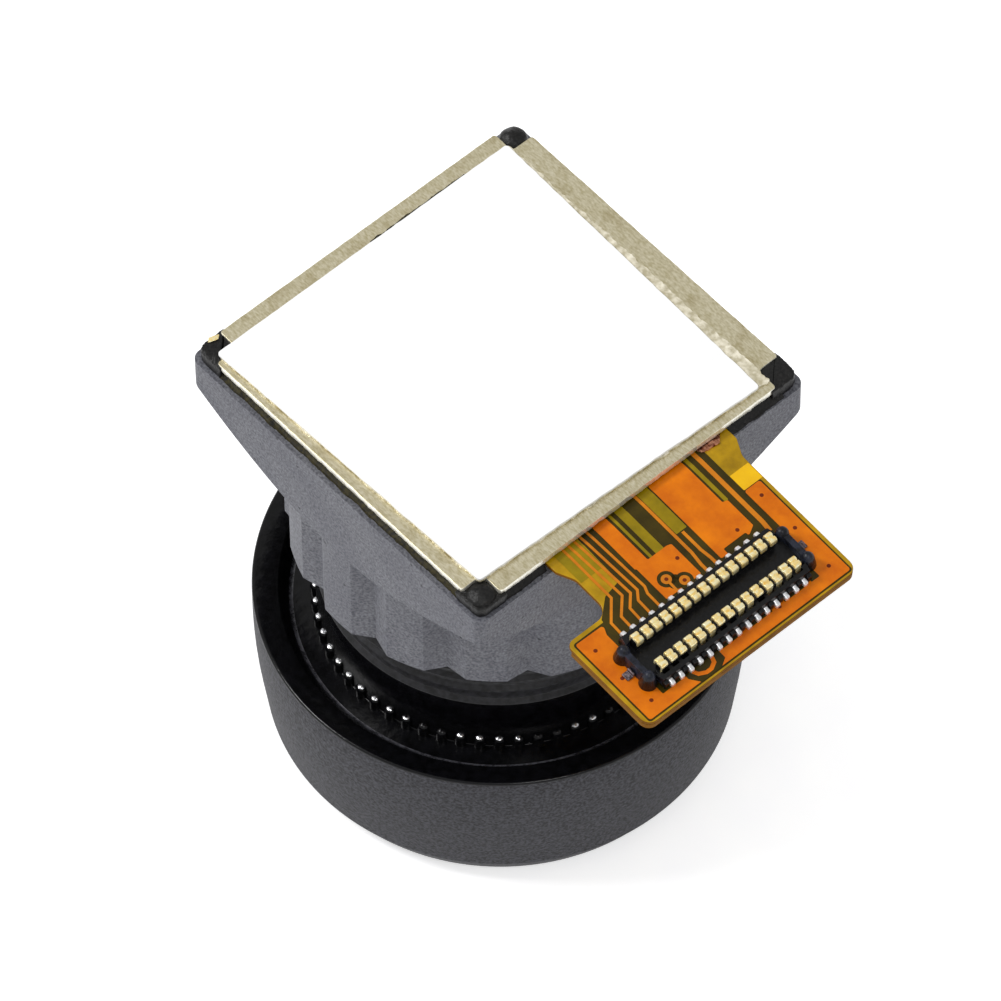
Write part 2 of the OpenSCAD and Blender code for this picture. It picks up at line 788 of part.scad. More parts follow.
// Plan of the drooping film: widened root, neck, filleted shoulder and
// wide end
module film_plan() {
    difference() {
        union() {
            polygon([
                [0, -neck_left - root_flare],
                [root_flat_l, -neck_left - root_flare],
                [root_l, -neck_left],
                [tab_x + eps, -neck_left],
                [tab_x + eps, tail_right],
                [root_l, tail_right],
                [root_flat_l, tail_right + root_flare],
                [0, tail_right + root_flare]
            ]);
            translate([tab_x, -tab_left]) square([tab_l, tab_left + tail_right]);
            translate([tab_x - neck_fillet_r, -neck_left - neck_fillet_r])
                square(neck_fillet_r + eps);
        }
        translate([tab_x - neck_fillet_r, -neck_left - neck_fillet_r])
            circle(neck_fillet_r);
        corner_cut(tab_x, -tab_left, 0, shoulder_r);
        corner_cut(tail_l, -tab_left, 90, tab_corner_r);
        corner_cut(tail_l, tail_right, 180, tab_corner_r);
    }
}

// Film tail: a level strip that leaves the board's edge, and the drooping film
module film_tail() {
    color("#8a7418") {
        translate([board_half, -neck_left - root_flare, film_top_z - film_t])
            cube([bend_x - board_half, neck_left + tail_right + 2 * root_flare, film_t]);
        on_film() translate([0, 0, -film_t]) linear_extrude(film_t) film_plan();
    }
}

// Stiffener bonded under the wide end, behind the plug
module tail_stiffener() {
    color("#a8801c") on_film() translate([0, 0, -film_t - backer_t])
        linear_extrude(backer_t) difference() {
            film_plan();
            translate([-overreach, -tab_left - overreach])
                square([overreach + tab_x + shoulder_r,
                        tab_left + tail_right + 2 * overreach]);
        }
}

// Copper fields under the cover film, clear of the plug's footprint: one
// beyond each end of the plug, one at the film's end and one on the neck
module tail_copper() {
    left_y = copper_border - tab_left;
    right_y = tail_right - copper_border;
    end_x = tail_l - copper_border;
    tab_field_x = tab_x + copper_border;
    plug_end = anchor_y + anchor_l + copper_gap;
    plug_reach = foot_end_x + solder_l + copper_gap;
    color("#f07a00") on_film() linear_extrude(copper_t) {
        translate([tab_field_x, left_y])
            square([end_x - tab_field_x, plug_y - plug_end - left_y]);
        translate([copper_border, plug_y + plug_end])
            square([end_x - copper_border, right_y - plug_y - plug_end]);
        translate([plug_x + plug_reach, left_y])
            square([end_x - plug_x - plug_reach, right_y - left_y]);
        translate([copper_border, neck_copper_y])
            square([plug_x - plug_reach - copper_border, right_y - neck_copper_y]);
    }
}

// ---- plug connector ----

// Puts its children on the film with the origin at the plug's centre
module on_plug() {
    on_film() translate([plug_x, plug_y, 0]) children();
}

// A guide post with a rounded top
module guide_post() {
    r = post_d / 2;
    h = plug_h - post_drop - post_dome;
    rotate_extrude() {
        square([r, h]);
        translate([0, h]) cap_section(r, post_dome);
    }
}

// Moulded plug: floor, two long walls, end walls, four guide posts, and the
// outer rails that stand on blocks between the contact feet
module plug_housing() {
    wall_l = 2 * plug_half_l + contact_w + 2 * block_play;
    block_w = contact_pitch - contact_w - 2 * block_play;
    color("#1b1b1e") on_plug() {
        translate([-wall_x - wall_t / 2, -post_y, 0])
            cube([row_spacing + wall_t, 2 * post_y, floor_t]);
        for (side = [-1, 1]) {
            translate([side * wall_x - wall_t / 2, -wall_l / 2, 0])
                cube([wall_t, wall_l, wall_h]);
            translate([-wall_x, side * post_y - end_wall_w / 2, 0])
                cube([row_spacing, end_wall_w, end_wall_h]);
        }
        for (x = [-1, 1], y = [-1, 1])
            translate([x * wall_x, y * post_y, 0]) guide_post();
        for (turn = [0, 180]) rotate(turn) translate([wall_x + wall_t / 2, 0, 0]) {
            translate([contact_t + block_play, -wall_l / 2, contact_t + block_play])
                cube([block_reach - contact_t - block_play, wall_l,
                      block_h - contact_t - block_play]);
            for (i = [0 : contact_count])
                translate([-eps, (i - contact_count / 2) * contact_pitch - block_w / 2, 0])
                    cube([block_reach + eps, block_w, block_h]);
        }
    }
}

// Side profile of one contact, with x = 0 on the wall's centre line: inner
// hook, grooved crown over the wall, outer leg and foot
module contact_profile() {
    inner = wall_t / 2;
    outer = inner + contact_t;
    difference() {
        translate([-outer, wall_h]) square([2 * outer, plug_h - wall_h]);
        corner_cut(-outer, plug_h, 270, crown_r);
        corner_cut(outer, plug_h, 180, crown_r);
        translate([0, plug_h]) circle(crown_groove_r);
    }
    translate([-outer, wall_h - hook_h]) square([contact_t, hook_h]);
    translate([inner, 0]) square([contact_t, wall_h]);
    translate([inner, 0]) square([foot_reach, contact_t]);
}

// Repeats an XZ profile as a strip of a contact's width at every contact;
// turn 0 is the outer row and turn 180 the inner row
module at_contacts(turn) {
    on_plug() rotate(turn)
        for (i = [0 : contact_count - 1])
            translate([wall_x,
                       (i - (contact_count - 1) / 2) * contact_pitch + contact_w / 2, 0])
                rotate([90, 0, 0]) linear_extrude(contact_w) children();
}

module plug_contacts_inner() {
    color("#e9c766") at_contacts(180) contact_profile();
}

module plug_contacts_outer() {
    color("#e9c766") at_contacts(0) contact_profile();
}

// Two formed metal anchors that hold the plug's ends to the film
module plug_anchors() {
    color("#c9c9c9") on_plug() for (turn = [0, 180]) rotate(turn) {
        translate([-anchor_w / 2, anchor_y, 0]) cube([anchor_w, contact_t, anchor_h]);
        translate([-anchor_w / 2, anchor_y, 0])
            cube([anchor_w, anchor_l, contact_t]);
    }
}

// Solder fillets at the ends of the contact feet
module solder_joints() {
    color("#d8dadc") for (turn = [0, 180])
        at_contacts(turn) translate([wall_t / 2 + foot_reach, 0])
            cap_section(solder_l, contact_t + solder_rise);
}

lens_housing();
front_retaining_ring();
front_seal();
front_meniscus();
front_spacer();
second_meniscus();
middle_spacer();
third_glass();
stop_spacer();
aperture_stop();
doublet_front_glass();
doublet_rear_glass();
rear_spacer();
rear_glass();
lens_holder();
thread_glue();
infrared_filter();
sensor_cover_glass();
image_sensor();
board_capacitors();
holder_bond();
rigid_board();
edge_glue();
stiffener_plate();
corner_glue();
backing_adhesive();
release_liner();
film_tail();
tail_stiffener();
tail_copper();
plug_housing();
plug_contacts_inner();
plug_contacts_outer();
plug_anchors();
solder_joints();
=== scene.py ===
# %% [markdown]
# # A camera module with a film tail
# The object is about 20 mm long: a turned lens stands on its front rim, a fluted
# plastic holder screws over its barrel, and a square metal plate with a white liner
# closes the back. A short amber film tail leaves the board and carries a plug.
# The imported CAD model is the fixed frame. Everything made here stands on its sizes.

# %% Load the frame
import math
import random

import bpy
from mathutils import Matrix, Vector, noise


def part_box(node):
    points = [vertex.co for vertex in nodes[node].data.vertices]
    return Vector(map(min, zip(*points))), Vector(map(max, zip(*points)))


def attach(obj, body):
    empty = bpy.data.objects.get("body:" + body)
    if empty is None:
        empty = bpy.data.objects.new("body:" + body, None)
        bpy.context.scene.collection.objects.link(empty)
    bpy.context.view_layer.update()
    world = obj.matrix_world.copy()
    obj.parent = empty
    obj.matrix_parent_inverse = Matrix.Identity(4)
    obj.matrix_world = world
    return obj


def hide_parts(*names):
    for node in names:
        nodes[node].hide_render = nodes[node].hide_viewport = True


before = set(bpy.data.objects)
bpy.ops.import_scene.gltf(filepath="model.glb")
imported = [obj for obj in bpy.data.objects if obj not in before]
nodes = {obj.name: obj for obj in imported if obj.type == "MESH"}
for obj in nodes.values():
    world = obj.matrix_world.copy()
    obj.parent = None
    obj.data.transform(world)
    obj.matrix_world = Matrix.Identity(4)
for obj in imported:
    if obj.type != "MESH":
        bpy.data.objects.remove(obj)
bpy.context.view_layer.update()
print("loaded", len(nodes), "solids of the module")

# %% [markdown]
# ## Units and selection
# Blender counts in metres and the module is measured in millimetres, so every size
# below is a number of millimetres that a tool multiplies by MM. Operators act on
# whatever is selected, so each tool starts by letting go of everything. The same
# could be done through bmesh without any selection, but operators are what the menus
# of Blender run, so each step here can also be tried by hand.

# %% Units and selection
MM = 0.001
WELD = 0.0005 * MM


def let_go():
    """Leaves edit mode and selects nothing."""
    if bpy.context.object and bpy.context.object.mode != "OBJECT":
        bpy.ops.object.mode_set(mode="OBJECT")
    bpy.ops.object.select_all(action="DESELECT")


def take(*pieces):
    """Selects these pieces alone and makes the first one active."""
    let_go()
    for piece in pieces:
        piece.select_set(True)
    bpy.context.view_layer.objects.active = pieces[0]
    return pieces[0]


def edit(piece):
    """Opens a piece in edit mode with all of it selected."""
    take(piece)
    bpy.ops.object.mode_set(mode="EDIT")
    bpy.ops.mesh.select_all(action="SELECT")


print("corners closer than", WELD / MM, "mm are welded into one")

# %% [markdown]
# ## Materials
# Colours are written as the hex values that a designer reads off a sample. Shaders
# work in linear light, so one function turns each hex value to linear. One more
# function adds a node with its settings and links, and fills a colour ramp.

# %% Colours and nodes
def linear(hex_colour):
    """An sRGB hex colour as linear RGBA."""
    parts = [int(hex_colour[i:i + 2], 16) / 255 for i in (1, 3, 5)]
    curve = [c / 12.92 if c <= 0.04045 else ((c + 0.055) / 1.055) ** 2.4 for c in parts]
    return (*curve, 1)


def add_node(material, kind, inputs=None, tones=None, **settings):
    """Adds a node; inputs take values or other nodes' outputs, tones fill a colour ramp."""
    made = material.node_tree.nodes.new(kind)
    for name, value in settings.items():
        setattr(made, name, value)
    for socket, value in (inputs or {}).items():
        if isinstance(value, bpy.types.NodeSocket):
            material.node_tree.links.new(value, made.inputs[socket])
        else:
            made.inputs[socket].default_value = value
    for stop, (level, tone) in enumerate((tones or {}).items()):
        made.color_ramp.elements[stop].position = level
        made.color_ramp.elements[stop].color = linear(tone)
    return made


def new_material(name, sockets):
    """A material, its Principled shader with these socket values, and its place in space."""
    material = bpy.data.materials.new(name)
    material.use_nodes = True
    shader = material.node_tree.nodes["Principled BSDF"]
    for socket, value in sockets.items():
        shader.inputs[socket].default_value = value
    place = add_node(material, "ShaderNodeTexCoord").outputs["Object"]
    return material, shader, place


def on_top(material, shader, tone, height, lift, deep):
    """Links a tone to the shader, and a height as shallow relief of this depth in metres."""
    bump = add_node(material, "ShaderNodeBump",
                    {"Height": height, "Strength": lift, "Distance": deep})
    material.node_tree.links.new(tone, shader.inputs["Base Color"])
    material.node_tree.links.new(bump.outputs["Normal"], shader.inputs["Normal"])
    return bump


print("mid grey #808080 is", round(linear("#808080")[0], 3), "in linear light")

# %% [markdown]
# Each finish below names the real material and how its surface was made. Most of
# them share one pattern: a fine grain that moves the colour between two tones and
# lifts the surface a little, because moulded, blasted and plated surfaces all
# scatter light that way. The grain's size is given in millimetres. Real grit and
# mould grain are about 0.03 to 0.05 mm, which is too fine to show here, so most
# grains are drawn at 0.06 to 0.2 mm. One flat colour would look like a toy.

# %% The common grain
GRAIN_FLATNESS = 3


def grained(name, dark, light, size, lift, sockets):
    """A finish whose grain of this size in millimetres moves its tone and lifts its skin."""
    material, shader, place = new_material(name, sockets)
    grain = add_node(material, "ShaderNodeTexNoise",
                     {"Vector": place, "Scale": 1 / (size * MM), "Detail": 3.0})
    tone = add_node(material, "ShaderNodeValToRGB", {"Fac": grain.outputs["Fac"]},
                    {0.35: dark, 0.65: light})
    on_top(material, shader, tone.outputs["Color"], grain.outputs["Fac"], lift,
           size * MM / GRAIN_FLATNESS)
    return material


print("a grain is", GRAIN_FLATNESS, "times as wide as it is deep")

# %% [markdown]
# ### Lens finishes
# The lens body is turned aluminium, black anodised. Its outer wall was blasted
# first. The rear rim, the recess and the grip teeth were left as turned and shine.
# Anodising is a thin glassy layer over dark dye, so although there is metal below
# it, a dark dielectric shows it better than a metallic shader would.

# %% Lens finishes
# Blasted before anodising: satin grey-black with a fine grit.
blasted_anodised = grained("blasted_anodised_aluminium", "#141417", "#44444A", 0.1, 1.0,
                           {"Roughness": 0.6, "Specular IOR Level": 0.25})
# Anodised as turned: nearly black, with a soft clear reflection of the room.
gloss_anodised = grained("turned_anodised_aluminium", "#030304", "#0B0B0E", 0.3, 0.15,
                         {"Roughness": 0.2, "Specular IOR Level": 0.28})
# A painted highlight: a paler grey line round the recess's turned edge stands in for the
# reflection of the lamp along it.
edge_highlight_paint = grained("recess_edge_painted_highlight", "#222226", "#4E4E54", 0.2, 0.3,
                         {"Roughness": 0.22, "Specular IOR Level": 1.0})
# A painted highlight: bright metal caps on the tops of some grip teeth stand in for their
# white glints.
tooth_glint_paint = grained("tooth_tips_painted_glint", "#B8B8BE", "#FFFFFF", 0.06, 0.6,
                   {"Metallic": 1.0, "Roughness": 0.25})
# The thread rubs in its mate, so it is a paler satin than the recess.
rubbed_thread = grained("rubbed_anodised_thread", "#050506", "#242428", 0.2, 0.3,
                        {"Roughness": 0.35, "Specular IOR Level": 0.4})
# Spacers and the front ring: anodised without blasting, a dull even black.
black_ring = grained("black_anodised_ring", "#0C0C0E", "#1B1B1F", 0.15, 0.2,
                     {"Roughness": 0.35, "IOR": 1.6})
# Moulded rubber swallows the light: it has hardly any highlight.
seal_rubber = grained("moulded_nitrile_rubber", "#101010", "#1C1C1C", 0.1, 0.4,
                      {"Roughness": 0.75})
# Etched foil with a black oxide, matt so that it throws no light into the lens.
stop_foil = grained("blackened_steel_foil", "#0A0A0A", "#181818", 0.06, 0.3,
                    {"Roughness": 0.6})
print(len(bpy.data.materials), "materials with the lens finishes")

# %% [markdown]
# ### Glass
# The lens elements are ground and polished glass with an anti-reflection coating,
# which tints what little they reflect. The infrared filter is a glass plate that
# passes visible light and throws back deep red. A slow wave in the coating's
# thickness keeps the tint from being the same all over. The glass is fully clear
# with a tinted highlight, because a part of plain colour in it looks like milk.

# %% Glass
def coated_glass(name, pale, deep, ior):
    """Polished glass whose coating drifts between two tints."""
    material, shader, place = new_material(
        name, {"Roughness": 0.01, "IOR": ior, "Transmission Weight": 1.0, "Coat Weight": 0.3,
               "Specular Tint": linear("#B8A8FF")})
    drift = add_node(material, "ShaderNodeTexNoise", {"Vector": place, "Scale": 1 / (6 * MM)})
    tint = add_node(material, "ShaderNodeValToRGB", {"Fac": drift.outputs["Fac"]},
                    {0.35: deep, 0.65: pale})
    material.node_tree.links.new(tint.outputs["Color"], shader.inputs["Base Color"])
    return material


CROWN_INDEX = 1.52
# Ground and polished crown glass: clear, with a violet film of coating.
optical_glass = coated_glass("polished_crown_glass", "#EEF6FA", "#D6E4F4", CROWN_INDEX)
# A coated plate that turns from pale red to pale blue.
filter_glass = coated_glass("infrared_filter_glass", "#E9C7D2", "#B9DDE6", CROWN_INDEX)
print("two glasses with an index of", CROWN_INDEX)

# %% [markdown]
# ### Moulded holder
# The holder is glass-filled nylon, grey, from a spark-eroded mould. The glass fibres
# and the eroded mould leave a close dull grain, with darker specks where a fibre
# end lies open. The fibres are about 0.01 mm thick, far too fine to show, so the
# grain is drawn at 0.085 mm. The specks are the cells of a second, coarser pattern,
# because dots from the same noise would look like soft blots.

# %% Moulded holder
def glass_filled_nylon():
    """Grey moulded plastic: a close grain, slow clouds in its tone and a few dark specks."""
    material, shader, place = new_material(
        "glass_filled_nylon", {"Roughness": 0.6, "Specular IOR Level": 0.4})
    grain = add_node(material, "ShaderNodeTexNoise",
                     {"Vector": place, "Scale": 1 / (0.085 * MM), "Detail": 4.0})
    tone = add_node(material, "ShaderNodeValToRGB", {"Fac": grain.outputs["Fac"]},
                    {0.32: "#484950", 0.68: "#7C7D83"})
    cloud = add_node(material, "ShaderNodeTexNoise",
                     {"Vector": place, "Scale": 1 / (1.6 * MM), "Detail": 2.0})
    shade = add_node(material, "ShaderNodeValToRGB", {"Fac": cloud.outputs["Fac"]},
                     {0.35: "#E8E8EC", 0.65: "#FFFFFF"})
    clouded = add_node(material, "ShaderNodeMix",
                       {"Factor": 1.0, "A": tone.outputs["Color"], "B": shade.outputs["Color"]},
                       data_type="RGBA", blend_type="MULTIPLY")
    cells = add_node(material, "ShaderNodeTexVoronoi",
                     {"Vector": place, "Scale": 1 / (0.8 * MM)})
    speck = add_node(material, "ShaderNodeValToRGB", {"Fac": cells.outputs["Distance"]},
                     {0.05: "#4A4A50", 0.09: "#FFFFFF"})
    specked = add_node(material, "ShaderNodeMix",
                       {"Factor": 0.8, "A": clouded.outputs["Result"],
                        "B": speck.outputs["Color"]},
                       data_type="RGBA", blend_type="MULTIPLY")
    on_top(material, shader, specked.outputs["Result"], grain.outputs["Fac"], 0.45, 0.03 * MM)
    return material


holder_plastic = glass_filled_nylon()
print(holder_plastic.name, "has", len(holder_plastic.node_tree.nodes), "nodes")

# %% [markdown]
# ### Glues
# Three glues hold the module together, and each shows how it was applied. Black
# epoxy was cured in an oven and has a wrinkled satin skin. The drop that locks the
# lens was run in later and still looks wet. The board is held by a thin film of
# brown epoxy, of which only the squeezed edge shows. Their skins are uneven in the
# mesh too, and the grain adds only what is finer than that.

# %% Glues
# Oven-cured: black, satin and lumpy.
black_glue = grained("cured_black_epoxy", "#050505", "#1A1918", 0.09, 0.8,
                     {"Roughness": 0.4, "Specular IOR Level": 0.3})
# Cured slowly in air: a black drop with a wet shine.
wet_glue = grained("glossy_black_epoxy", "#060607", "#1C1C20", 0.2, 0.5,
                   {"Roughness": 0.18, "IOR": 1.55})
# Squeezed out between board and flange: dark brown and dull.
bond_film = grained("brown_bonding_film", "#14120A", "#3A3416", 0.12, 0.6,
                    {"Roughness": 0.6, "Specular IOR Level": 0.3})
print(len(bpy.data.materials), "materials with the glues")

# %% [markdown]
# ### Metal plate, liner and adhesive
# The plate is rolled nickel silver: a warm champagne metal with rolling marks along
# one way, and a bright band where the press sheared it, painted paler as its own burnish
# and as a painted sheen for the reflection along the cut sides. Rolling marks are
# noise that is stretched along the strip by a Mapping node. They are about 0.01 mm
# wide and are drawn at 0.06 mm, so that they show.

# %% The rolled plate
def rolled_plate():
    """Champagne metal with fine rolling marks, and small stains."""
    material, shader, place = new_material(
        "rolled_nickel_silver", {"Metallic": 1.0, "Roughness": 0.42})
    stretched = add_node(material, "ShaderNodeMapping", {"Vector": place, "Scale": (0.4, 1, 1)})
    marks = add_node(material, "ShaderNodeTexNoise",
                     {"Vector": stretched.outputs["Vector"], "Scale": 1 / (0.06 * MM),
                      "Detail": 3.0})
    tone = add_node(material, "ShaderNodeValToRGB", {"Fac": marks.outputs["Fac"]},
                    {0.3: "#CCC199", 0.7: "#F0E8CC"})
    stain = add_node(material, "ShaderNodeTexNoise",
                     {"Vector": place, "Scale": 1 / (0.7 * MM), "Detail": 4.0})
    mask = add_node(material, "ShaderNodeValToRGB", {"Fac": stain.outputs["Fac"]},
                    {0.32: "#ECE9E0", 0.46: "#FFFFFF"})
    stained = add_node(material, "ShaderNodeMix",
                       {"Factor": 1.0, "A": tone.outputs["Color"], "B": mask.outputs["Color"]},
                       data_type="RGBA", blend_type="MULTIPLY")
    on_top(material, shader, stained.outputs["Result"], marks.outputs["Fac"], 0.12, 0.01 * MM)
    return material


nickel_silver = rolled_plate()
print(nickel_silver.name, "has", len(nickel_silver.node_tree.nodes), "nodes")

# %% [markdown]
# The liner is coated paper, pure white. The adhesive under it is a cream acrylic
# that has picked up dust along its open edge. The board shows only its cut edge, and
# the sensor and its capacitors only through the lens. The common grain does for all
# of them, with the gloss that each surface has.

# %% Sheared edge, liner, adhesive and board
# The burnished band of a sheared edge, paler and brighter than the rolled face: its own
# burnish, and a painted sheen for the bright reflection along the cut sides.
sheared_edge_and_sheen = grained("sheared_nickel_silver_and_painted_sheen", "#E9E4D2", "#FFFDF2", 0.12, 0.3,
                       {"Metallic": 0.6, "Roughness": 0.3})
# Clay-coated paper with a release layer: pure white, smooth, a faint sheen.
white_liner = grained("coated_liner_paper", "#FCFCFC", "#FFFFFF", 0.4, 0.02,
                      {"Roughness": 0.45})
# Rolled-on acrylic, torn when the liner was trimmed: cream, sticky and glinting.
adhesive_film = grained("acrylic_adhesive", "#B5AC8E", "#F2EBD6", 0.25, 0.7,
                        {"Roughness": 0.3, "Coat Weight": 0.4})
# Routed glass epoxy: the cut fibres are dull and olive brown.
board_edge = grained("cut_glass_epoxy_board", "#1A160A", "#4C4220", 0.2, 0.5,
                     {"Roughness": 0.6})
# A polished wafer: slate grey with a clear reflection.
silicon = grained("sensor_silicon", "#2C3038", "#4A505A", 0.3, 0.1,
                  {"Roughness": 0.25, "IOR": 1.9})
# Sintered ceramic: tan and satin.
ceramic = grained("capacitor_ceramic", "#8E6C44", "#B08A5A", 0.12, 0.3,
                  {"Roughness": 0.5})
print(len(bpy.data.materials), "materials with the plate and the board")

# %% [markdown]
# ### The film and its copper
# The tail is polyimide film over copper. Where the copper lies close under the
# glossy cover film the tail glows orange. Where it was etched away the film looks
# dark olive, and where a second sheet of copper or the stiffener shines through from
# below it is a yellow olive. The film could be clear amber over real copper, but
# light that is filtered twice by thin layers takes long to settle. So each layer is
# an opaque tone, and all of them share the clear coat and the shallow wrinkle.

# %% The film and its copper
def covered_film(name, dark, light, roughness, coat):
    """Glossy cover film over a layer whose tone drifts, with shallow wrinkles."""
    material, shader, place = new_material(
        name, {"Roughness": roughness, "Coat Weight": coat, "Coat Roughness": 0.12,
               "Specular IOR Level": 0.15})
    drift = add_node(material, "ShaderNodeTexNoise",
                     {"Vector": place, "Scale": 1 / (0.9 * MM), "Detail": 5.0, "Roughness": 0.6})
    tone = add_node(material, "ShaderNodeValToRGB", {"Fac": drift.outputs["Fac"]},
                    {0.3: dark, 0.7: light})
    wrinkle = add_node(material, "ShaderNodeTexNoise",
                       {"Vector": place, "Scale": 1 / (0.5 * MM), "Detail": 2.0})
    bump = on_top(material, shader, tone.outputs["Color"], wrinkle.outputs["Fac"],
                  0.3, 0.02 * MM)
    material.node_tree.links.new(bump.outputs["Normal"], shader.inputs["Coat Normal"])
    return material


# Wide copper close under the cover: a strong orange.
covered_copper = covered_film("copper_under_cover_film", "#C86000", "#E87E00", 0.4, 0.15)
# Narrow tracks let more of the dark film shine in from the sides: a browner orange.
thin_copper = covered_film("thin_copper_tracks", "#B86810", "#DC8414", 0.4, 0.15)
# Film over the stiffener, without copper: a yellow olive border.
polyimide_film = covered_film("polyimide_over_stiffener", "#947208", "#C49A10", 0.35, 0.15)
# Two layers of film with the copper etched away: dark olive.
etched_film = covered_film("etched_polyimide", "#2C2402", "#443806", 0.35, 0.12)
# The ground sheet on the film's far side shines through as olive green.
ground_film = covered_film("film_over_ground_copper", "#7E6C04", "#A08608", 0.35, 0.15)
# One patch where the bright far copper lies right under the cover: clear yellow.
bare_yellow = covered_film("film_over_bright_copper", "#E6AE08", "#F6C40C", 0.4, 0.3)
# The stiffener is thick polyimide, punched: amber brown and matt on its cut sides.
backer_film = covered_film("polyimide_stiffener", "#6A4200", "#8A5A02", 0.7, 0.0)
# Copper torn open at the film's root: crumpled, pink where it is bright.
raw_copper = grained("torn_bare_copper", "#6A2410", "#F0B090", 0.14, 0.8,
                     {"Metallic": 0.8, "Roughness": 0.35})
# A plated hole under the cover film reads as a small brown dimple.
via_shadow = covered_film("plated_via", "#5A1E04", "#7E3008", 0.5, 0.1)
print(len(bpy.data.materials), "materials with the film")

# %% [markdown]
# ### The plug
# The plug's body is liquid crystal polymer, the contacts are plated strip, and their
# tails were dipped in solder. Gold at this size reflects a white room on one side
# and the black body on the other. As plain metal it would go dark there, so it
# keeps a share of diffuse yellow, as the tiny scratches in real plating give it.

# %% The plug's finishes
# Moulded liquid crystal polymer: black, slightly glossy.
plug_plastic = grained("black_liquid_crystal_polymer", "#050506", "#121214", 0.12, 0.35,
                       {"Roughness": 0.3, "Specular IOR Level": 0.3})
# Its thin ends cool first and bloom: a bluish black.
post_plastic = grained("bloomed_liquid_crystal_polymer", "#0C0D12", "#262A38", 0.2, 0.5,
                       {"Roughness": 0.35, "Specular IOR Level": 0.3})
# Plated crowns: pale warm gold, polished by the socket.
gold_plate = grained("gold_plated_crowns", "#FFDC84", "#FFFAD0", 0.12, 0.15,
                     {"Metallic": 0.5, "Roughness": 0.25, "Coat Weight": 0.5,
                      "Coat Roughness": 0.12})
# Reflowed solder: bright, nearly white, a little lumpy.
solder = grained("reflowed_solder", "#E4E5E8", "#FFFFFF", 0.1, 0.3,
                 {"Metallic": 0.6, "Roughness": 0.3})
# Tinned steel anchors, dulled by flux: a brownish grey.
tinned_steel = grained("tinned_anchor_steel", "#3E3437", "#8C7E82", 0.08, 0.4,
                       {"Metallic": 0.8, "Roughness": 0.35})
print(len(bpy.data.materials), "materials in all")

# %% [markdown]
# ## The lens body
# The real body is turned from bar: a drafted head with a dished rear rim, a recess
# with a ring of grip teeth, and a barrel with a fine thread. It could be stacked
# from cylinders and cut by booleans, but a lathe job is easier to read as one closed
# section that is spun. The section holds the steps of the optical bore too, so the
# glasses seat in it.

# %% The section's sizes
def box_mm(name):
    """The lowest and highest corners of a solid, in millimetres."""
    low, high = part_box(name)
    return low / MM, high / MM


HEAD_R, HEAD_Z = box_mm("lens_housing")[1].x, 6.2
NOSE_R, NOSE_Z = 7.76, 0.95
DRAFT_R = 25
WIDEST_Z = 3.8
DISH_R, DISH_Z = 7.22, 5.92
RECESS_R, RECESS_Z = 6.84, 5.3
HUB_R, HUB_Z = 6.0, 7.66
CORE_R, CORE_Z = 5.84, 14.65
TIP_R, TIP_Z = 5.65, box_mm("lens_housing")[1].z
BORE_PLAY = 0.05
ring_high = box_mm("front_retaining_ring")[1]
mouth_r = ring_high.x + BORE_PLAY
seat_z = box_mm("front_spacer")[0].z
step_r, step_z = box_mm("middle_spacer")[1].x + BORE_PLAY, box_mm("stop_spacer")[0].z
stack_r = box_mm("stop_spacer")[1].x + BORE_PLAY
end_z = box_mm("rear_spacer")[1].z + 1.3
print("head", round(2 * HEAD_R, 2), "mm across, barrel ends at", round(TIP_Z, 2), "mm")

# %% [markdown]
# Every outline in this file starts as a circle with one corner for each point, and
# the corners are then put in their places. A face is the start of a sheet, a loop
# that of a section, and a chain, which is a loop with its last edge deleted, that of
# a wire or a track. The edge to delete is picked by a test on its two ends.

# %% From points to an outline
def pick(piece, kind, test):
    """Opens a piece in edit mode with the vertices, edges or polygons that pass selected."""
    edit(piece)
    bpy.context.tool_settings.mesh_select_mode = [
        kind == each for each in ("vertices", "edges", "polygons")]
    bpy.ops.mesh.select_all(action="DESELECT")
    bpy.ops.object.mode_set(mode="OBJECT")
    for element in getattr(piece.data, kind):
        element.select = test(element)
    bpy.ops.object.mode_set(mode="EDIT")


def outline(name, points, form="face"):
    """A face, a loop or an open chain through these points, on the XY plane or in space."""
    let_go()
    fill = "NGON" if form == "face" else "NOTHING"
    bpy.ops.mesh.primitive_circle_add(vertices=len(points), fill_type=fill)
    piece = bpy.context.object
    piece.name = name
    for vertex, point in zip(piece.data.vertices, points):
        vertex.co = Vector(point).to_3d() * MM
    if form == "chain":
        pick(piece, "edges", lambda edge: set(edge.vertices) == {0, len(points) - 1})
        bpy.ops.mesh.delete(type="EDGE")
        bpy.ops.object.mode_set(mode="OBJECT")
    return piece


print("an outline is a face, a loop or a chain")

# %% [markdown]
# An outline is written as the few corners that matter. A tool or a mould leaves a
# small radius on each, which is a short arc between the corner's two sides. A Bevel
# modifier could round them too, but only by one radius for all.

# %% Rounded corners
def rounded(corners, radius, steps=5):
    """Replaces each corner by an arc; radius is one size or one for each corner."""
    radii = radius if isinstance(radius, (list, tuple)) else [radius] * len(corners)
    points = []
    for i, corner in enumerate(corners):
        here = Vector(corner)
        before = (Vector(corners[i - 1]) - here).normalized()
        after = (Vector(corners[(i + 1) % len(corners)]) - here).normalized()
        half = before.angle(after) / 2
        if radii[i] == 0 or half > math.radians(88):
            points.append(here)
            continue
        centre = here + (before + after).normalized() * radii[i] / math.sin(half)
        start = (here + before * radii[i] / math.tan(half) - centre).normalized()
        end = (here + after * radii[i] / math.tan(half) - centre).normalized()
        points += [centre + start.slerp(end, k / steps) * radii[i] for k in range(steps + 1)]
    return points


square = [(0, 0), (1, 0), (1, 1), (0, 1)]
print("a rounded square has", len(rounded(square, 0.1)), "points")

# %% [markdown]
# Spin carries the closed section round the axis. It ends where it began, so the two
# ends are welded, and the normals are then turned outwards.

# %% The turned section
TURN_STEPS = 192


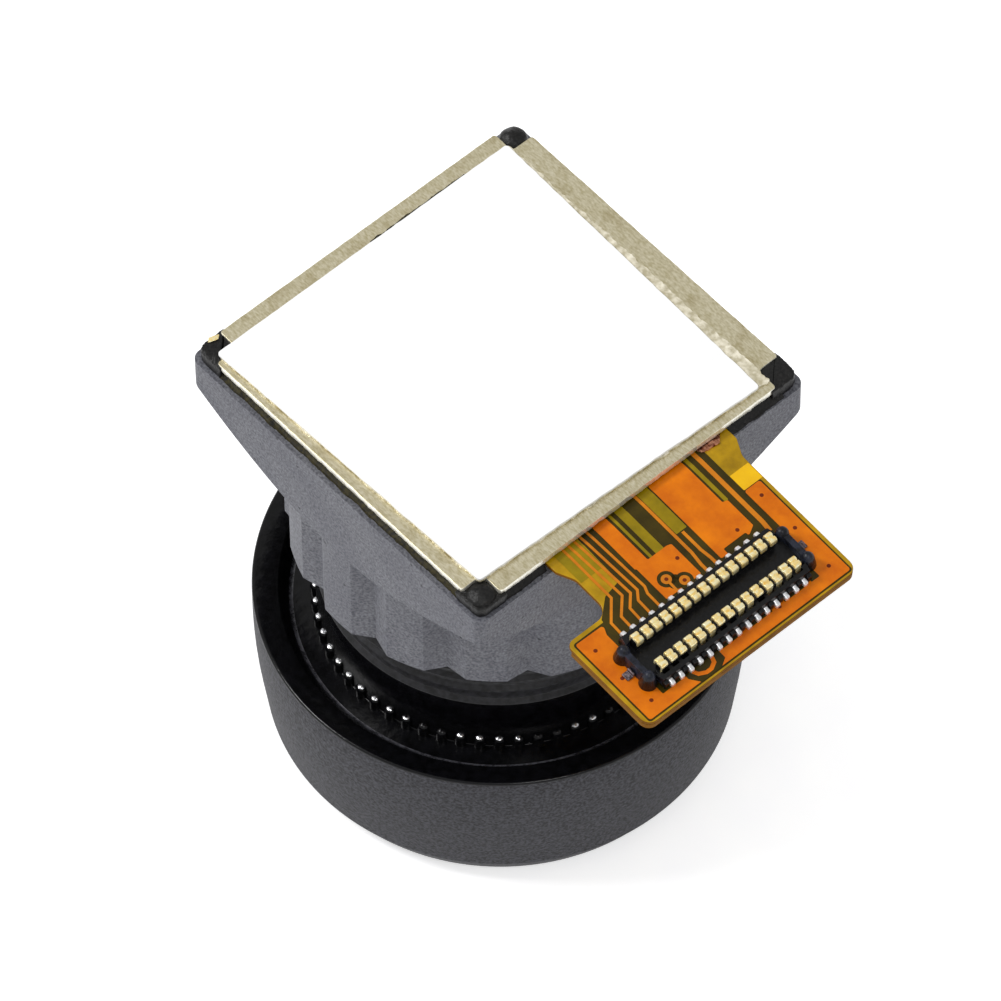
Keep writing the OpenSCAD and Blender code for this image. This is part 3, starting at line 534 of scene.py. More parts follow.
def turned(name, section, steps=TURN_STEPS):
    """A closed section of (radius, height) points spun round the optical axis."""
    piece = outline(name, [(r, 0, z) for r, z in section], "loop")
    edit(piece)
    bpy.ops.mesh.spin(steps=steps, angle=math.tau, center=(0, 0, 0), axis=(0, 0, 1))
    bpy.ops.mesh.select_all(action="SELECT")
    bpy.ops.mesh.remove_doubles(threshold=WELD)
    bpy.ops.mesh.normals_make_consistent(inside=False)
    let_go()
    return piece


section = [
    (mouth_r, 0), (7.25, 0), (NOSE_R, NOSE_Z), (HEAD_R, WIDEST_Z),
    (HEAD_R, HEAD_Z), (DISH_R, DISH_Z), (RECESS_R, RECESS_Z), (HUB_R, RECESS_Z),
    (HUB_R, HUB_Z), (CORE_R, HUB_Z + 0.14), (CORE_R, CORE_Z), (TIP_R, TIP_Z),
    (3.0, TIP_Z), (3.0, end_z), (stack_r, end_z), (stack_r, step_z),
    (step_r, step_z), (step_r, seat_z), (6.45, seat_z), (6.45, ring_high.z),
    (mouth_r, ring_high.z)]
radii = [0.04, 0.12, 0.3, DRAFT_R, 0.09, 0.06, 0.16, 0.05, 0.05] + [0.02] * 12
body = turned("lens_body", rounded(section, radii, steps=4))
print("section of", len(section), "corners, spun to", len(body.data.polygons), "faces")

# %% [markdown]
# The thread could be a bump pattern, but its outline shows against the light. So it
# is a real helix: a small ridge drawn as a closed loop at the barrel and carried
# round and up by the Screw modifier, one pitch in each turn. Its foot is sunk in the
# core. The ends of the ridge are open holes, which are then filled.

# %% The thread
PITCH = 0.5
TURNS = 13
SUNK = 0.03
crest_r, foot_r = HUB_R - 0.015, CORE_R - SUNK
ridge = outline("thread", [(r, 0, HUB_Z + 0.1 + z) for r, z in [
    (foot_r, 0), (crest_r, 0.16), (crest_r, 0.22), (foot_r, 0.38)]], "loop")
take(ridge)
screw = ridge.modifiers.new("turns", "SCREW")
screw.angle = math.tau
screw.screw_offset = PITCH * MM
screw.iterations = TURNS
screw.steps = screw.render_steps = 96
bpy.ops.object.modifier_apply(modifier="turns")
edit(ridge)
bpy.ops.mesh.remove_doubles(threshold=WELD)
bpy.ops.mesh.fill_holes(sides=8)
bpy.ops.mesh.normals_make_consistent(inside=False)
let_go()
print("thread of", TURNS, "turns, ridge", round(crest_r - CORE_R, 3), "mm high")

# %% [markdown]
# The grip teeth are short round pins with domed tops, cut in a ring round the hub.
# A whole wheel could be spun or cut, but sixty equal pins are easier as one that is
# copied: a ball whose lower half is drawn down to the floor of the recess. Each
# copy has a mesh of its own that is turned in the mesh, so the object itself stays
# at the origin, where patterns are measured from.

# %% The grip teeth
def twin(model, name, move=Matrix()):
    """A copy of a model with a mesh of its own, moved by this matrix."""
    piece = bpy.data.objects.new(name, model.data.copy())
    bpy.context.scene.collection.objects.link(piece)
    piece.data.transform(move)
    return piece


TOOTH_R = 0.2
TOOTH_H = 0.5
TEETH = 60
waist = RECESS_Z + TOOTH_H - TOOTH_R
bpy.ops.mesh.primitive_uv_sphere_add(segments=16, ring_count=10, radius=TOOTH_R * MM,
                                     location=(HUB_R * MM, 0, waist * MM))
tooth = bpy.context.object
bpy.ops.object.transform_apply()
for vertex in tooth.data.vertices:
    if vertex.co.z < waist * MM - 2 * WELD:
        flat = Vector((vertex.co.x - HUB_R * MM, vertex.co.y)).normalized() * TOOTH_R * MM
        vertex.co.x, vertex.co.y = HUB_R * MM + flat.x, flat.y
        vertex.co.z = (RECESS_Z - 0.02) * MM
edit(tooth)
bpy.ops.mesh.remove_doubles(threshold=WELD)
let_go()
teeth = [twin(tooth, "tooth", Matrix.Rotation(math.tau * i / TEETH, 4, "Z"))
         for i in range(TEETH)]
bpy.data.objects.remove(tooth)
print(TEETH, "teeth at", round(math.tau * HUB_R / TEETH, 3), "mm from each other")

# %% [markdown]
# The head, the thread and the teeth are one piece of metal, so they become one mesh.
# Weighted Normal keeps large flat faces flat to the eye, while the narrow faces
# between them turn the light.

# %% Joining pieces
def joined(name, pieces):
    """Makes one piece of several."""
    take(*pieces)
    if len(pieces) > 1:
        bpy.ops.object.join()
    pieces[0].name = name
    return pieces[0]


def smoothed(piece, angle=35):
    """Shades curves smooth while large flat faces keep their own normal."""
    take(piece)
    bpy.ops.object.shade_smooth_by_angle(angle=math.radians(angle))
    weigh = piece.modifiers.new("weigh", "WEIGHTED_NORMAL")
    weigh.keep_sharp = True
    bpy.ops.object.modifier_apply(modifier="weigh")
    return piece


lens_body = smoothed(joined("lens_body", [body, ridge] + teeth))
print("lens body of", len(lens_body.data.vertices), "corners")

# %% [markdown]
# Each finished piece is dressed: it gets its materials, rides on the module's body,
# and hides the solids that it stands for. Where one piece has several finishes,
# its faces are painted by their place and normal.
# Here the finishes meet along turned edges. The tops of some teeth get bright metal caps,
# a painted highlight for their glints: a noise chooses these teeth, and the same noise
# gives the same teeth on every run. A paler band round the recess's turned edge is a
# painted highlight too.

# %% Dressing and painting the lens body
GLOSS, THREAD, GLINT_CAPS, HIGHLIGHT_BAND = 1, 2, 3, 4
RIM_W = 0.12


def dressed(piece, materials, slot, *stands_for):
    """Gives a piece its materials, fixes it to the body, and retires solids; slot is not used."""
    piece.data.materials.clear()
    for material in materials if isinstance(materials, list) else [materials]:
        piece.data.materials.append(material)
    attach(piece, "root")
    if stands_for:
        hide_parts(*stands_for)
    print(piece.name, len(piece.data.polygons), "faces")
    return piece


def painted(piece, index, test):
    """Gives the faces whose centre (in millimetres) and normal pass the test another material."""
    for face in piece.data.polygons:
        if test(face.center / MM, face.normal):
            face.material_index = index


def from_axis(at):
    """How far a place lies from the optical axis."""
    return math.hypot(at.x, at.y)


dressed(lens_body, [blasted_anodised, gloss_anodised, rubbed_thread, tooth_glint_paint, edge_highlight_paint],
        "black_anodised_aluminium", "lens_housing")
painted(lens_body, GLOSS, lambda at, n: HEAD_Z - RIM_W < at.z < HUB_Z or
        (at.z > RECESS_Z - 0.1 and from_axis(at) < HEAD_R - RIM_W))
painted(lens_body, THREAD, lambda at, n: at.z >= HUB_Z and from_axis(at) > 5.5)
# Bright caps on some tooth tops: a painted highlight for their glints.
painted(lens_body, GLINT_CAPS, lambda at, n: RECESS_Z + TOOTH_H - 0.06 < at.z < HUB_Z and
        n.z > 0.5 and from_axis(at) < HUB_R + TOOTH_R and noise.noise(at * 0.9) > -0.2)
# A paler band round the recess's edge: a painted highlight.
painted(lens_body, HIGHLIGHT_BAND, lambda at, n: RECESS_Z < at.z < RECESS_Z + 0.12 and
        RECESS_R - 0.1 < from_axis(at) < RECESS_R + 0.11)

# %% [markdown]
# ## The solids that stay
# The optics are already exact in the CAD model and show only from the front, and the
# board, the bond, the sensor and the film's stiffener show only an edge. Modelling
# them again would add nothing, so these solids stay and get their real finishes:
# coated glass, black rings, a rubber seal, a blackened stop and so on.

# %% Finishes of the solids that stay
KEPT_SOLIDS = {
    optical_glass: ["front_meniscus", "second_meniscus", "third_glass", "doublet_front_glass",
                    "doublet_rear_glass", "rear_glass", "sensor_cover_glass"],
    filter_glass: ["infrared_filter"],
    black_ring: ["front_retaining_ring", "front_spacer", "middle_spacer", "stop_spacer",
                 "rear_spacer"],
    seal_rubber: ["front_seal"],
    stop_foil: ["aperture_stop"],
    silicon: ["image_sensor"],
    ceramic: ["board_capacitors"],
    bond_film: ["holder_bond"],
    board_edge: ["rigid_board"],
    backer_film: ["tail_stiffener"],
}
for material, names in KEPT_SOLIDS.items():
    for name in names:
        nodes[name].data.materials.clear()
        nodes[name].data.materials.append(material)
print("finished", sum(len(names) for names in KEPT_SOLIDS.values()), "solids that stay")

# %% [markdown]
# ## The holder
# One moulding: a square flange over a fluted barrel, with the flange's corners cut
# back by a cone. The CAD solid already has that shape, so drawing it again would
# only risk its fit. A solid arrives as loose triangles, so a copy of it has its
# corners merged and its flat faces joined before a bevel can break its edges.

# %% A clean copy of a solid
def copied(node, name):
    """A copy of a CAD solid with its corners merged and its flat faces joined."""
    piece = twin(nodes[node], name)
    edit(piece)
    bpy.ops.mesh.remove_doubles(threshold=WELD)
    bpy.ops.mesh.dissolve_limited(angle_limit=math.radians(1))
    let_go()
    return piece


holder = copied("lens_holder", "holder_moulding")
print("the clean copy has", len(holder.data.polygons), "faces")

# %% [markdown]
# No real edge is perfectly sharp: a mould leaves a small radius, and that radius is
# what catches the light. The Bevel modifier breaks each edge that is sharper than an
# angle: here from 14 degrees up, because the flutes meet at shallow angles.

# %% The holder
def eased(piece, width, segments=2, angle=30):
    """Breaks every edge sharper than an angle, and shades what is left smooth."""
    take(piece)
    edge = piece.modifiers.new("edge", "BEVEL")
    edge.width = width * MM
    edge.segments = segments
    edge.limit_method = "ANGLE"
    edge.angle_limit = math.radians(angle)
    bpy.ops.object.modifier_apply(modifier="edge")
    return smoothed(piece, angle)


MOULD_R = 0.035
eased(holder, MOULD_R, angle=14)
dressed(holder, holder_plastic, "holder_plastic", "lens_holder")

# %% [markdown]
# The lens is locked by a drop of glue run into one flute. It sits half under the
# holder's edge and has a wet shine. A copy of its solid is cut finer and made lumpy
# by a cloud pattern, because a drop that wetted two parts has no flat face.

# %% The locking glue
def roughened(piece, size, depth, cuts=0):
    """Cuts a piece's faces finer and pushes its skin in and out by a cloud pattern."""
    edit(piece)
    if cuts:
        bpy.ops.mesh.quads_convert_to_tris()
        bpy.ops.mesh.subdivide(number_cuts=cuts)
    let_go()
    take(piece)
    cloud = bpy.data.textures.new(piece.name + "_cloud", "CLOUDS")
    cloud.noise_scale = size * MM
    skin = piece.modifiers.new("skin", "DISPLACE")
    skin.texture = cloud
    skin.texture_coords = "LOCAL"
    skin.strength = depth * MM
    bpy.ops.object.modifier_apply(modifier="skin")
    bpy.ops.object.shade_smooth_by_angle(angle=math.radians(60))
    return piece


glue = roughened(copied("thread_glue", "locking_glue"), 0.25, 0.05, cuts=3)
dressed(glue, wet_glue, "black_glue", "thread_glue")

# %% [markdown]
# ## The metal plate
# The plate is pressed from strip. The press rounds the corners of its notches and
# leaves a bright band on its cut sides, with a torn lower edge. A copy of the solid
# would have sides that are too straight. So the outline is drawn again, and each of
# its sides is cut into short steps that are pushed a little out of line by a seeded
# noise, which is the same on every run.

# %% Ragged sides
def ragged(corners, step, depth, seed):
    """Cuts each side into steps and pushes the new points in and out of line."""
    points = []
    for i, corner in enumerate(corners):
        here = Vector(corner)
        along = Vector(corners[(i + 1) % len(corners)]) - here
        count = max(1, round(along.length / step))
        across = Vector((-along.y, along.x)).normalized()
        for k in range(count):
            place = here + along * k / count
            shift = noise.noise(Vector((place.x * 2.3, place.y * 2.3, seed)))
            shift += 0.7 * noise.noise(Vector((place.x * 9, place.y * 9, seed + 5)))
            points.append(place + across * depth * shift if k else here)
    return points


print("a ragged square has", len(ragged(square, 0.1, 0.02, 1)), "points")

# %% [markdown]
# The outline is raised into a sheet by an extrusion. Its lower rim is torn upwards
# here and there, its edges are broken, and the faces that look sideways get the
# burnished finish, which is partly a painted sheen.

# %% The metal plate
def raised(name, points, low, high):
    """A sheet with this outline between two heights."""
    piece = outline(name, [(x, y, low) for x, y in points])
    edit(piece)
    bpy.ops.mesh.extrude_region_move(TRANSFORM_OT_translate={"value": (0, 0, (high - low) * MM)})
    bpy.ops.mesh.select_all(action="SELECT")
    bpy.ops.mesh.normals_make_consistent(inside=False)
    let_go()
    return piece


plate_low, plate_high = box_mm("stiffener_plate")
HALF = plate_high.x
NOTCH = 5.82
notched = [(-NOTCH, -HALF), (NOTCH, -HALF), (NOTCH, -NOTCH), (HALF, -NOTCH),
           (HALF, NOTCH), (NOTCH, NOTCH), (NOTCH, HALF), (-NOTCH, HALF),
           (-NOTCH, NOTCH), (-HALF, NOTCH), (-HALF, -NOTCH), (-NOTCH, -NOTCH)]
plan = rounded(notched, [0.1, 0.1, 0.16] * 4, steps=3)
plate = raised("back_plate", ragged(plan, 0.1, 0.012, 3), plate_low.z, plate_high.z)
TEAR = 0.05
for vertex in plate.data.vertices:
    if vertex.co.z / MM < plate_low.z + 0.01:
        tear = noise.noise(Vector((vertex.co.x, vertex.co.y, 0)) / MM * 4)
        vertex.co.z += TEAR * MM * max(0, tear + 0.25)
eased(plate, 0.018, angle=50)
dressed(plate, [nickel_silver, sheared_edge_and_sheen], "nickel_silver", "stiffener_plate")
# The sideways faces take the sheared finish: burnish and a painted sheen.
painted(plate, 1, lambda at, n: abs(n.z) < 0.6)

# %% [markdown]
# ## The liner and its adhesive
# The liner was cut by hand, so three of its edges run a little out of square. It is
# too stiff to hang or fold, so it is raised from its outline like the plate and not
# simulated as cloth.

# %% The liner
liner_low, liner_high = box_mm("release_liner")
SKEW = 0.4
corners = [(liner_low.x, liner_low.y), (liner_high.x - SKEW, liner_low.y + SKEW),
           (liner_high.x, liner_high.y - SKEW), (liner_low.x, liner_high.y)]
liner = raised("release_liner_sheet", ragged(rounded(corners, 0.12, 3), 0.22, 0.02, 11),
               liner_low.z, liner_high.z)
eased(liner, 0.015, angle=50)
dressed(liner, white_liner, "white_liner", "release_liner")

# %% [markdown]
# The adhesive under the liner ends in a line of its own on one side, where it shows
# as a torn cream strip. On another side, where the liner stands up by a hair, a thin dark
# wedge of film runs along its edge: a painted shadow for the gap under it. A texture
# could draw both, but they catch the light as layers do, so each is a thin sheet with
# ragged sides.

# %% The painted gap shadow and the adhesive
wedge = [(liner_low.x - 0.1, 0.2), (liner_low.x + 0.05, -0.6),
         (liner_low.x + 0.05, 4.7), (liner_low.x - 0.09, 4.0)]
# A dark sheet along the liner's edge: a painted shadow of the gap under it.
gap_shadow_paint = raised("liner_gap_painted_shadow", ragged(wedge, 0.08, 0.06, 31),
                plate_high.z, plate_high.z + 0.05)
dressed(gap_shadow_paint, bond_film, "adhesive_film")
glue_low, glue_high = box_mm("backing_adhesive")
corners = [(glue_low.x, glue_low.y + 0.03), (glue_high.x - SKEW, glue_low.y + SKEW),
           (glue_high.x, glue_high.y), (glue_low.x, glue_high.y)]
adhesive = raised("backing_adhesive_layer", ragged(rounded(corners, 0.1, 3), 0.09, 0.07, 23),
                  glue_low.z, glue_high.z)
dressed(adhesive, adhesive_film, "adhesive_film", "backing_adhesive")

# %% [markdown]
# ## Glue at the corners and edges
# Epoxy was dropped into each corner notch and has run out along the ledge between
# the board and the flange. Each pad is an outline raised to its own height, cut
# finer, and roughened by a cloud pattern. A fluid simulation would give drops too,
# but not these heights, and it would take minutes.

# %% The pads in the notches
pad_low, pad_high = box_mm("corner_glue")
LEDGE = pad_low.z
PAD = pad_high.x - 0.04


def corner_pad(name, turn, reach, top, seed):
    """A pad that fills one notch and runs out to this reach."""
    start = NOTCH + 0.03
    corners = [(start, start), (reach, start - 0.25), (reach, reach), (start - 0.25, reach)]
    points = ragged(rounded(corners, [0.1, 0.05, 0.34, 0.05], 4), 0.07, 0.025, seed)
    piece = raised(name, points, LEDGE, top)
    eased(piece, 0.05, 2, 50)
    roughened(piece, 0.12, 0.05, 2)
    piece.data.transform(Matrix.Rotation(math.radians(turn), 4, "Z"))
    return piece


pads = [corner_pad("corner_glue_near", -90, 6.78, plate_low.z + 0.08, 1),
        corner_pad("corner_glue_right", 0, PAD, plate_high.z - 0.05, 2),
        corner_pad("corner_glue_far", 90, 6.6, plate_low.z + 0.05, 3),
        corner_pad("corner_glue_left", 180, PAD, plate_high.z - 0.06, 4)]
print(len(pads), "pads on the ledge at", round(LEDGE, 2), "mm")

# %% [markdown]
# On two corners the last drop stands as a dome over the pad; the other two have
# slumped flat. A dome is a ball pressed to its height and dented by a noise. One
# flat pad has caught a flake of gold from the board's edge: a bit of torn outline,
# tilted as it fell.

# %% The domes and the gold flake
domes = []
for x, y, wide, tall, lift in [
        (NOTCH + 0.45, -NOTCH - 0.45, 0.47, 0.26, 0.04),
        (-NOTCH - 0.4, NOTCH + 0.4, 0.48, 0.36, -0.03)]:
    bpy.ops.mesh.primitive_uv_sphere_add(segments=32, ring_count=20, radius=wide * MM)
    dome = bpy.context.object
    for vertex in dome.data.vertices:
        vertex.co.z *= tall / wide
        vertex.co.z += 0.05 * MM * noise.noise(vertex.co / MM * 3)
        vertex.co += Vector((x, y, plate_high.z - tall + 0.08 - lift)) * MM
    domes.append(roughened(dome, 0.2, 0.04))
dressed(joined("corner_glue_drops", pads + domes), black_glue, "black_glue", "corner_glue")
flake = raised("gold_flake", ragged([(0, 0), (0.34, 0.05), (0.4, 0.2), (0.05, 0.16)],
                                    0.05, 0.02, 7), 0, 0.03)
flake.data.transform(Matrix.Translation(Vector((-6.62, -6.35, plate_high.z - 0.04)) * MM) @
                     Matrix.Rotation(math.radians(62), 4, "Z") @
                     Matrix.Rotation(math.radians(12), 4, "X"))
eased(flake, 0.008)
dressed(flake, gold_plate, "gold_plate")

# %% [markdown]
# Along the board the glue is a low fillet: thick and black on both sides of the
# film, a thin brown line on the other edges. A round bead would look piped. So its
# section is a wedge that leans against the board, drawn along the edge as a strip
# whose lower line wanders.

# %% The edge glue
board_half = box_mm("rigid_board")[1].x


def edge_fillet(name, start, end, reach, height, seed):
    """A wedge of glue on the ledge, from start to end along the +X edge."""
    count = max(4, round((end - start) / 0.08))
    points = [(board_half - 0.1, start), (board_half - 0.1, end)]
    for k in range(count + 1):
        y = end + (start - end) * k / count
        spread = noise.noise(Vector((seed, y * 1.7, 0)))
        spread += 0.5 * noise.noise(Vector((seed, y * 7, 3)))
        points.append((board_half + reach * (1 + 0.35 * spread), y))
    piece = raised(name, points, LEDGE, LEDGE + height)
    for vertex in piece.data.vertices:
        if vertex.co.x > board_half * MM and vertex.co.z > (LEDGE + 0.01) * MM:
            vertex.co.z = (LEDGE + 0.04) * MM
            vertex.co.x -= 0.02 * MM
    return roughened(piece, 0.1, 0.03, 2)


ledge_h = plate_low.z - LEDGE
thick = [edge_fillet("edge_near", -NOTCH - 0.2, -3.95, 0.2, ledge_h - 0.02, 1),
         edge_fillet("edge_right", 3.8, NOTCH + 0.2, 0.27, ledge_h - 0.02, 2)]
dressed(joined("edge_glue_fillets", thick), black_glue, "black_glue", "edge_glue")
thin = []
for turn, seed in [(-90, 5), (90, 6), (180, 7)]:
    line = edge_fillet("edge_line", -NOTCH, NOTCH, 0.16, ledge_h * 0.8, seed)
    line.data.transform(Matrix.Rotation(math.radians(turn), 4, "Z"))
    thin.append(line)
dressed(joined("bond_line", thin), bond_film, "black_glue")

# %% [markdown]
# ## The film tail
# The tail leaves the board level and then droops by five degrees. Drawing it on its
# slope would make every number odd. So it is drawn flat, with x = 0 where the droop
# starts, and laid on its slope at the end: corners behind the line stay level, the
# others turn down about it. The outline has the root's flare, the neck, the soft
# fillet at the shoulder and round outer corners.

# %% The film's plan
DROOP = math.radians(5)
BEND = Vector((7.0, 0, box_mm("film_tail")[1].z)) * MM
SLOPE = Matrix.Translation(BEND) @ Matrix.Rotation(DROOP, 4, "Y")
FILM_T = 0.15
NECK_LEFT, NECK_RIGHT = -3.6, 3.45
FLARE = 0.3
ROOT_X, ROOT_L = -0.42, 0.7
SHOULDER_X, END_X, TAB_LEFT = 2.24, 6.07, -5.39


def laid(piece):
    """Lays a piece that was drawn flat on the level root and the drooping film."""
    edit(piece)
    bpy.ops.mesh.bisect(plane_co=(0, 0, 0), plane_no=(1, 0, 0))
    let_go()
    for vertex in piece.data.vertices:
        if vertex.co.x > 0:
            vertex.co = SLOPE @ vertex.co
        else:
            vertex.co += BEND
    piece.data.update()
    return piece


film_plan = [
    (ROOT_X, NECK_LEFT - FLARE), (0.1, NECK_LEFT - FLARE), (ROOT_L, NECK_LEFT),
    (SHOULDER_X, NECK_LEFT), (SHOULDER_X, TAB_LEFT), (END_X, TAB_LEFT),
    (END_X, NECK_RIGHT), (ROOT_L, NECK_RIGHT), (0.1, NECK_RIGHT + FLARE),
    (ROOT_X, NECK_RIGHT + FLARE)]
plan = rounded(film_plan, [0, 0.2, 0.5, 0.46, 0.28, 0.36, 0.36, 0.5, 0.2, 0], steps=6)
film = raised("film", plan, -FILM_T, 0)
eased(film, 0.03, 2, 50)
laid(film)
dressed(film, [polyimide_film, backer_film], "polyimide_film", "film_tail")
painted(film, 1, lambda at, n: abs(n.z) < 0.7)

# %% [markdown]
# ## Copper under the cover film
# The copper could be painted on the film, but the cover film hugs it, so tracks and
# fields stand up a little and the etched gaps lie low. Each layer of colour is a
# thin sheet at its own height: etched gaps lowest, then ground patches, then the
# copper. A track is a chain of points, raised into a wall and thickened to its width
# by the Solidify modifier, which keeps the width even round each bend.

# %% Layers of the copper
GAP_H, GROUND_H, COPPER_H = 0.005, 0.008, 0.018


def track(name, points, width, height=COPPER_H):
    """A copper track of this width through these points."""
    piece = outline(name, points, "chain")
    edit(piece)
    bpy.ops.mesh.extrude_region_move(TRANSFORM_OT_translate={"value": (0, 0, height * MM)})
    let_go()
    take(piece)
    wall = piece.modifiers.new("width", "SOLIDIFY")
    wall.thickness = width * MM
    wall.offset = 0
    wall.use_even_offset = True
    bpy.ops.object.modifier_apply(modifier="width")
    edit(piece)
    bpy.ops.mesh.normals_make_consistent(inside=False)
    let_go()
    return piece


def field(name, corners, height=COPPER_H, radius=0.05):
    """A flat field with these corners, rounded as an etched corner is."""
    return raised(name, rounded(corners, radius, 3), 0, height)


def strip(name, x0, x1, y0, y1, height=COPPER_H):
    """A rectangular field between two places along x and two along y."""
    return field(name, [(x0, y0), (x1, y0), (x1, y1), (x0, y1)], height, 0.03)


print("the copper stands", COPPER_H, "mm over the film, the ground lines", GROUND_H)

# %% [markdown]
# The wide end carries one field that runs round the plug on three sides, broken by
# a loop of track and by clearances at the outer tails. The neck carries a bundle of
# tracks that step across to their contacts, two wide supply fields, and thin ground
# lines between them. All places are in millimetres on the flat film.

# %% Fields and tracks
BORDER = 0.2
field_left, field_right = TAB_LEFT + BORDER, NECK_RIGHT - BORDER
START = -0.38
fields = [
    field("field_round_plug", [
        (SHOULDER_X + 0.22, field_left), (END_X - 0.13, field_left),
        (END_X - 0.13, field_right), (1.71, field_right), (1.71, 2.61), (5.0, 2.61),
        (5.0, -4.19), (2.81, -4.19), (SHOULDER_X + 0.24, -4.04)], radius=0.08),
    field("supply_left", [
        (START, -1.94), (1.61, -1.94), (1.66, -1.89), (3.06, -1.89), (3.06, -0.44),
        (1.66, -0.44), (1.61, -0.6), (1.61, -1.39), (START, -1.39)]),
    field("supply_right", [
        (START, 0.41), (3.06, 0.41), (3.06, 0.69), (2.84, 0.69), (2.84, 1.63),
        (3.0, 1.63), (2.8, 1.99), (1.61, 1.99), (1.56, 1.81), (START, 1.81)]),
]
tracks = [track("track", points, width) for width, points in [
    (0.09, [(START, -3.19), (1.91, -3.19), (2.58, -3.80), (3.2, -3.82)]),
    (0.09, [(START, -2.96), (2.06, -2.87), (2.61, -3.40), (3.2, -3.42)]),
    (0.09, [(START, -2.71), (2.16, -2.61), (2.56, -2.99), (3.2, -3.02)]),
    (0.09, [(START, -2.46), (2.21, -2.37), (2.51, -2.60), (3.2, -2.62)]),
    (0.09, [(START, -2.19), (2.26, -2.11), (2.51, -2.21), (3.2, -2.22)]),
    (0.11, [(START, -0.16), (2.3, -0.16), (2.81, -0.22), (3.2, -0.22)]),
    (0.11, [(1.55, 0.13), (2.4, 0.13), (2.81, 0.18), (3.2, 0.18)]),
    (0.16, [(START, 2.30), (2.9, 2.30), (3.3, 2.26)]),
]]
loop = track("loop", [(5.1, -3.05), (5.45, -3.05), (5.68, -2.94), (5.8, -2.7), (5.8, -2.5),
                      (5.68, -2.28), (5.45, -2.2), (5.1, -2.2)], 0.14, COPPER_H + 0.0015)
print(len(fields), "fields, a loop and", len(tracks), "tracks")
copper = joined("copper_fields", fields + [loop])
tracks = joined("copper_tracks", tracks)

# %% [markdown]
# The etched parts are drawn the same way, lower than the copper beside them. Where
# a clearance lies inside the big field it is laid over it by a hair, which reads as
# the darker film that it is. Cutting holes in the field would be truer, but such
# thin overlays give the same picture with far fewer corners.

# %% Etched gaps
OVER = COPPER_H + 0.0008
RING_PADS = [(2.51, -1.42), (2.9, -1.0)]
gaps = [
    field("neck_gap", [(START, -2.56), (1.6, -2.6), (1.75, -3.3), (2.3, -3.95), (2.5, -3.98),
                       (3.3, -3.98), (3.3, 2.62), (START, 2.62)], GAP_H),
    field("border_shade", [
        (SHOULDER_X + 0.16, field_left - 0.06), (END_X - 0.07, field_left - 0.06),
        (END_X - 0.07, field_right + 0.06), (1.65, field_right + 0.06), (1.65, 2.55),
        (SHOULDER_X + 0.16, -4.0)], GAP_H - 0.002, 0.1),
    field("loop_gap", [(5.0, -3.3), (5.62, -3.3), (5.96, -3.05), (5.96, -2.2), (5.78, -1.9),
                       (5.0, -1.9)], OVER),
]
gaps += [strip("clearance", 5.0, 5.5, y0, y1, OVER) for y0, y1 in [
    (-4.26, -3.15), (-1.84, -1.1), (-0.55, 0.36), (0.88, 1.7), (2.0, 2.34)]]
for (x, y), r in [(RING_PADS[0], 0.3), (RING_PADS[1], 0.3), ((2.76, -1.26), 0.27)]:
    ring = [(x + r * math.cos(math.tau * k / 24), y + r * math.sin(math.tau * k / 24))
            for k in range(24)]
    gaps.append(raised("keyhole", ring, 0, OVER))
print(len(gaps), "etched gaps")
gaps = joined("etched_gaps", gaps)

# %% [markdown]
# Between the supply fields thin ground lines shine through from the far side. At the
# root, where the tail was pulled, a corner of copper is torn open and crumpled: a
# ragged outline, raised and roughened like the glue.

# %% Ground lines and torn copper
GROUND_LINES = [(0.9, -3.55, -2.6), (1.62, -1.29, -1.19), (1.62, -1.04, -0.71),
                (1.5, -0.08, 0.36), (1.6, 1.89, 2.03)]
grounds = joined("ground_lines", [strip("ground", START, end, y0, y1, GROUND_H)
                                  for end, y0, y1 in GROUND_LINES])
root_copper = raised("torn_root_copper",
                     ragged([(-0.4, 2.45), (-0.16, 2.6), (-0.1, 3.2), (-0.4, 3.5)],
                            0.09, 0.07, 41), 0, 0.05)
roughened(root_copper, 0.1, 0.05, 2)
bright = strip("bright_patch", 1.0, 1.68, 2.63, NECK_RIGHT - 0.04, GROUND_H)
print("torn copper of", len(root_copper.data.polygons), "faces")

# %% [markdown]
# A plated via shows as a small brown dimple with a soft rim. The two ring pads in
# the keyhole have a via in their middle and a short track to the row of contacts.
# Each is a very low cylinder with a broken rim, which is cheap and catches the light
# as the real dimple does.

# %% Vias and ring pads
def disc(name, x, y, radius, height):
    """A small round pad, its rim broken by a bevel."""
    bpy.ops.mesh.primitive_cylinder_add(vertices=24, radius=radius * MM, depth=height * MM,
                                        location=(x * MM, y * MM, height * MM / 2))
    bpy.ops.object.transform_apply()
    piece = bpy.context.object
    piece.name = name
    return eased(piece, 0.003)


pads = [disc("ring_pad", x, y, 0.18, OVER + 0.0005) for x, y in RING_PADS]
pads += [track("pad_track", [(2.6, -1.42), (2.9, -1.43), (3.2, -1.42)], 0.09, OVER + 0.0004),
         track("pad_track", [(2.95, -1.03), (3.1, -1.02), (3.2, -1.02)], 0.09, OVER + 0.0004)]
ring_pads = joined("ring_pads", pads)
VIAS = [(3.01, -4.84), (4.28, -4.86), (5.44, -4.69), (2.16, -0.64), (2.61, 1.49),
        (2.16, 2.93), (3.71, 2.93), (5.41, 2.81), (5.51, 0.63)] + RING_PADS
vias = joined("vias", [disc("via", x, y, 0.07, OVER + 0.0009) for x, y in VIAS])
print(len(VIAS), "vias and", len(RING_PADS), "ring pads")

# %% [markdown]
# Everything that was drawn flat is now laid on the bent film, so that all of it
# bends along the same line. The copper fields stand for the copper solid.

